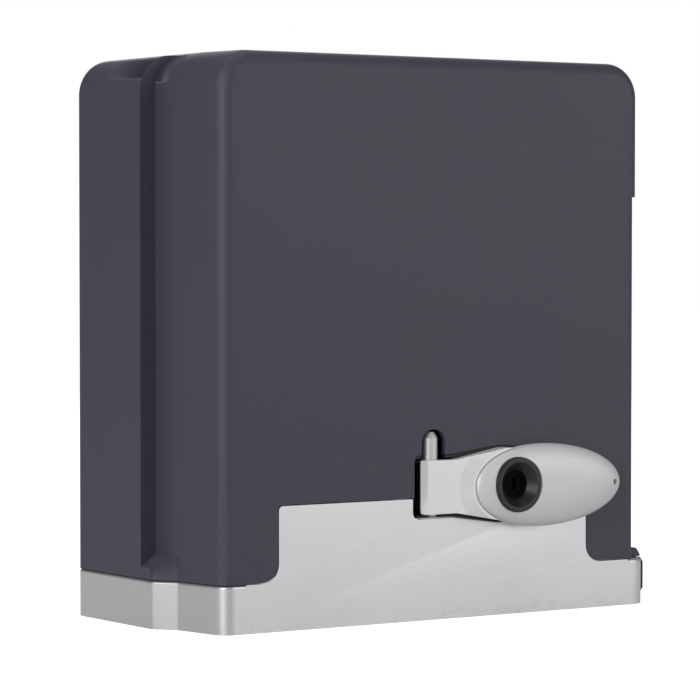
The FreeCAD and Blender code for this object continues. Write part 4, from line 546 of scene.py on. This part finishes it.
def grip_outline():
    """Front outline of the grip: blunt at the hinge and slightly pointed at the tip."""
    left = quarter(SHELL_LOW[0], 0.56, 0.60)
    right = quarter(SHELL_HIGH[0], 0.60, 0.50)
    belly = [[BELLY_X, HALF_HIGH]]
    under = [[x, -z] for x, z in right + belly + left[:0:-1]]
    return [(x, SHELL_Z + z) for x, z in left + belly + right[:0:-1] + under]


def drawn(shape, face, rise, wide, high):
    """Draws a face out along the depth and scales its far end about the grip's middle."""
    face = bmesh.ops.extrude_discrete_faces(shape, faces=[face])["faces"][0]
    bmesh.ops.translate(shape, vec=mm(0, rise, 0), verts=face.verts)
    bmesh.ops.scale(shape, vec=(wide, 1, high), verts=face.verts,
                    space=Matrix.Translation(mm(-SHELL_X, 0, -SHELL_Z)))
    return face


def grip_shell():
    """Domed grip on the lever's carrier, with the lock's seat and the hole at its tip."""
    crown = SHELL_LOW[1]
    back = SHELL_HIGH[1] - RIM_DEPTH
    shape = front_slab(grip_outline(), back - LIP, back)
    ends = sorted(shape.faces, key=lambda face: face.calc_center_median().y)
    front, rear = ends[0], ends[-1]
    steps = ((RIM_INSET, 0.0, RIM_DEPTH), (HOLLOW_INSET, RIM_INSET, 0.0),
             (HOLLOW_INSET, HOLLOW_INSET, LIP / 2 - RIM_DEPTH))
    for inset, before, rise in steps:
        rear = drawn(shape, rear, rise, (HALF_LONG - inset) / (HALF_LONG - before),
                     (HALF_HIGH - inset) / (HALF_HIGH - before))
    size, height = 1.0, 0.0
    for i in range(1, DOME_STEPS):
        new_size = math.cos(math.pi / 2 * i / DOME_STEPS)
        new_height = (back - LIP - crown) * (1 - new_size ** DOME_SHOULDER) ** (1 / DOME_CROWN)
        front = drawn(shape, front, height - new_height, new_size / size, new_size / size)
        size, height = new_size, new_height
    bmesh.ops.recalc_face_normals(shape, faces=shape.faces)
    thing = thing_from("grip", shape)
    lock_x = (LOCK_LOW[0] + LOCK_HIGH[0]) / 2
    lock_z = (LOCK_LOW[2] + LOCK_HIGH[2]) / 2
    lock_r = (LOCK_HIGH[0] - LOCK_LOW[0]) / 2
    tip_x = SHELL_HIGH[0] - TIP_HOLE_INSET
    holes = [drum(lock_x, lock_z, lock_r + LOCK_FIT, crown - CLEAR, LOCK_LOW[1] + LOCK_RIM),
             drum(lock_x, lock_z, lock_r - LOCK_LEDGE, crown - CLEAR, SHELL_HIGH[1] + CLEAR),
             drum(tip_x, SHELL_Z, TIP_HOLE_R, crown - CLEAR, back - TIP_HOLE_FLOOR, segments=40)]
    join_or_cut(thing, holes, "DIFFERENCE")
    finished(thing, "lever", FINISHES["shell_grey"], crease=35)
    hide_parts("lever_shell")


# ---------------------------------------------------------------- side cap and the cover's foot
CAP_LOW, CAP_HIGH = box_mm("side_cap")
CAP_THICK = 3.2
CAP_LONGER = 2.0            # towards the front
CAP_SEAT = CAP_HIGH[0] - CAP_THICK
CAP_FRONT = CAP_LOW[1] - CAP_LONGER
CAP_CORNER = 2.4
CAP_SOFTENING = 0.5
NOSE_SIDE = CAP_HIGH[0] - 3.6
NOSE_LEFT = 137.4
NOSE_LOW = 25.9
NOSE_TOP = 31.0
NOSE_FRONT = -60.4
NOSE_BACK = -56.0


def cap_outline():
    y0, y1, z0, z1, c = CAP_FRONT, CAP_HIGH[1], CAP_LOW[2], CAP_HIGH[2], CAP_CORNER
    corners = [(y0 + c, z0), (y1 - c, z0), (y1, z0 + c), (y1, z1 - c),
               (y1 - c, z1), (y0 + c, z1), (y0, z1 - c), (y0, z0 + c)]
    return [(CAP_SEAT, y, z) for y, z in corners]


def side_plate():
    """Cap on the right side of the base, with cut corners and a softened edge."""
    shape = slab(cap_outline(), (CAP_HIGH[0] - CAP_SEAT, 0, 0))
    outer = max(shape.faces, key=lambda face: face.calc_center_median().x)
    bmesh.ops.bevel(shape, geom=list(outer.edges), offset=CAP_SOFTENING / 1000, segments=3, profile=0.5,
                    affect="EDGES", material=-1)
    thing = thing_from("side_cap_plate", shape)
    finished(thing, "base", FINISHES["black_plastic"])
    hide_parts("side_cap")


def foot_nose():
    """Front end of the cover's foot, which runs on towards the corner."""
    outline = [(NOSE_LEFT, NOSE_LOW), (NOSE_SIDE, NOSE_LOW), (NOSE_SIDE, 27.0),
               (NOSE_SIDE - 2.4, NOSE_TOP - 0.5), (NOSE_SIDE - 4.0, NOSE_TOP), (NOSE_LEFT, NOSE_TOP)]
    thing = thing_from("foot_nose", front_slab(outline, NOSE_FRONT, NOSE_BACK))
    finished(thing, "cover", FINISHES["cover_grey"])


trimmed_housing()
filled_cover()
grip_shell()
side_plate()
foot_nose()


# ---------------------------------------------------------------- studio
FLOOR_DROP = 0.0002         # below the part, in metres
FLOOR_GLOW = 0.95
FLOOR_IN_GLOSS = 0.25       # share of the glow that glossy finishes see
WORLD_DIM = 0.18


def stage_mesh(name, shape, material):
    mesh = bpy.data.meshes.new(name)
    shape.to_mesh(mesh)
    shape.free()
    mesh.materials.append(material)
    thing = bpy.data.objects.new(name, mesh)
    bpy.context.collection.objects.link(thing)


def pale_floor():
    """Floor that the camera sees as white but for the object's shadow, and glossy finishes more dimly."""
    net = Net("studio_floor")
    ray = net.add("ShaderNodeLightPath")
    outs = ray.socket.node.outputs
    seen = Wire(net, outs["Is Camera Ray"]).largest(Wire(net, outs["Is Transmission Ray"]))
    seen = seen.largest(Wire(net, outs["Is Glossy Ray"]) * FLOOR_IN_GLOSS)
    matt = net.add("ShaderNodeBsdfDiffuse", {}, {"Color": (0.55, 0.55, 0.55, 1)})
    glow = net.add("ShaderNodeEmission", {}, {"Color": (1, 1, 1, 1), "Strength": FLOOR_GLOW})
    both = net.add("ShaderNodeAddShader", {}, {0: matt, 1: glow})
    surface = net.add("ShaderNodeMixShader", {}, {0: seen, 1: matt, 2: both})
    net.add("ShaderNodeOutputMaterial", {}, {"Surface": surface})
    floor = bmesh.new()
    bmesh.ops.create_grid(floor, x_segments=1, y_segments=1, size=6.0,
                          matrix=Matrix.Translation((0, 0, CAD_LOW[2] - FLOOR_DROP)))
    stage_mesh("studio_floor", floor, net.material)


def white_world():
    world = bpy.data.worlds.new("studio")
    bpy.context.scene.world = world
    world.use_nodes = True
    tree = world.node_tree
    tree.nodes.clear()
    path = tree.nodes.new("ShaderNodeLightPath")
    seen = tree.nodes.new("ShaderNodeMath")
    seen.operation = "MAXIMUM"
    tree.links.new(path.outputs["Is Camera Ray"], seen.inputs[0])
    tree.links.new(path.outputs["Is Transmission Ray"], seen.inputs[1])
    dim = tree.nodes.new("ShaderNodeBackground")
    dim.inputs["Strength"].default_value = WORLD_DIM
    bright = tree.nodes.new("ShaderNodeBackground")
    bright.inputs["Strength"].default_value = 1.0
    for node in (dim, bright):
        node.inputs["Color"].default_value = (1, 1, 1, 1)
    blend = tree.nodes.new("ShaderNodeMixShader")
    tree.links.new(seen.outputs[0], blend.inputs[0])
    tree.links.new(dim.outputs[0], blend.inputs[1])
    tree.links.new(bright.outputs[0], blend.inputs[2])
    out = tree.nodes.new("ShaderNodeOutputWorld")
    tree.links.new(blend.outputs[0], out.inputs[0])


def softbox(name, place, aim, width, height, power, mirrored=True):
    lamp = bpy.data.lights.new(name, "AREA")
    lamp.shape = "RECTANGLE"
    lamp.size = width
    lamp.size_y = height
    lamp.energy = power
    thing = bpy.data.objects.new(name, lamp)
    bpy.context.collection.objects.link(thing)
    thing.location = place
    thing.rotation_euler = (Vector(aim) - Vector(place)).to_track_quat("-Z", "Y").to_euler()
    thing.visible_glossy = mirrored


CAMERA_PLACE = (-1.0146, -1.4984, 0.2017)
CAMERA_TURN = -33.87        # degrees from straight on
CAMERA_DIP = 1.85           # degrees below level
LENS = 168.2
AIM = (0.0, 0.0, 0.15)      # where the lamps point


def camera():
    """Long lens, above half height, to the left of the front."""
    data = bpy.data.cameras.new("camera")
    data.sensor_width = 36.0
    data.lens = LENS
    thing = bpy.data.objects.new("camera", data)
    bpy.context.collection.objects.link(thing)
    turn = math.radians(CAMERA_TURN)
    tilt = math.radians(90 - CAMERA_DIP)
    thing.location = CAMERA_PLACE
    thing.rotation_euler = (tilt, 0.0, turn)
    bpy.context.scene.camera = thing


pale_floor()
white_world()
softbox("key_light", (0.9, -1.7, 1.1), AIM, 1.8, 1.6, 6.8)
softbox("front_panel", (1.4, -1.6, 0.5), AIM, 2.2, 1.0, 9.0)
softbox("side_panel", (-1.9, -1.1, 0.8), AIM, 1.1, 1.4, 20.0)
softbox("side_fill", (-2.1, -0.3, 0.7), AIM, 1.5, 1.6, 19.0, mirrored=False)
softbox("top_light", (0.0, 0.2, 2.0), (0.0, 0.0, 0.0), 1.6, 1.6, 8.0)
softbox("back_light", (1.2, 1.8, 1.2), AIM, 1.4, 1.2, 10.0)
camera()
bpy.context.scene.view_settings.view_transform = "Standard"
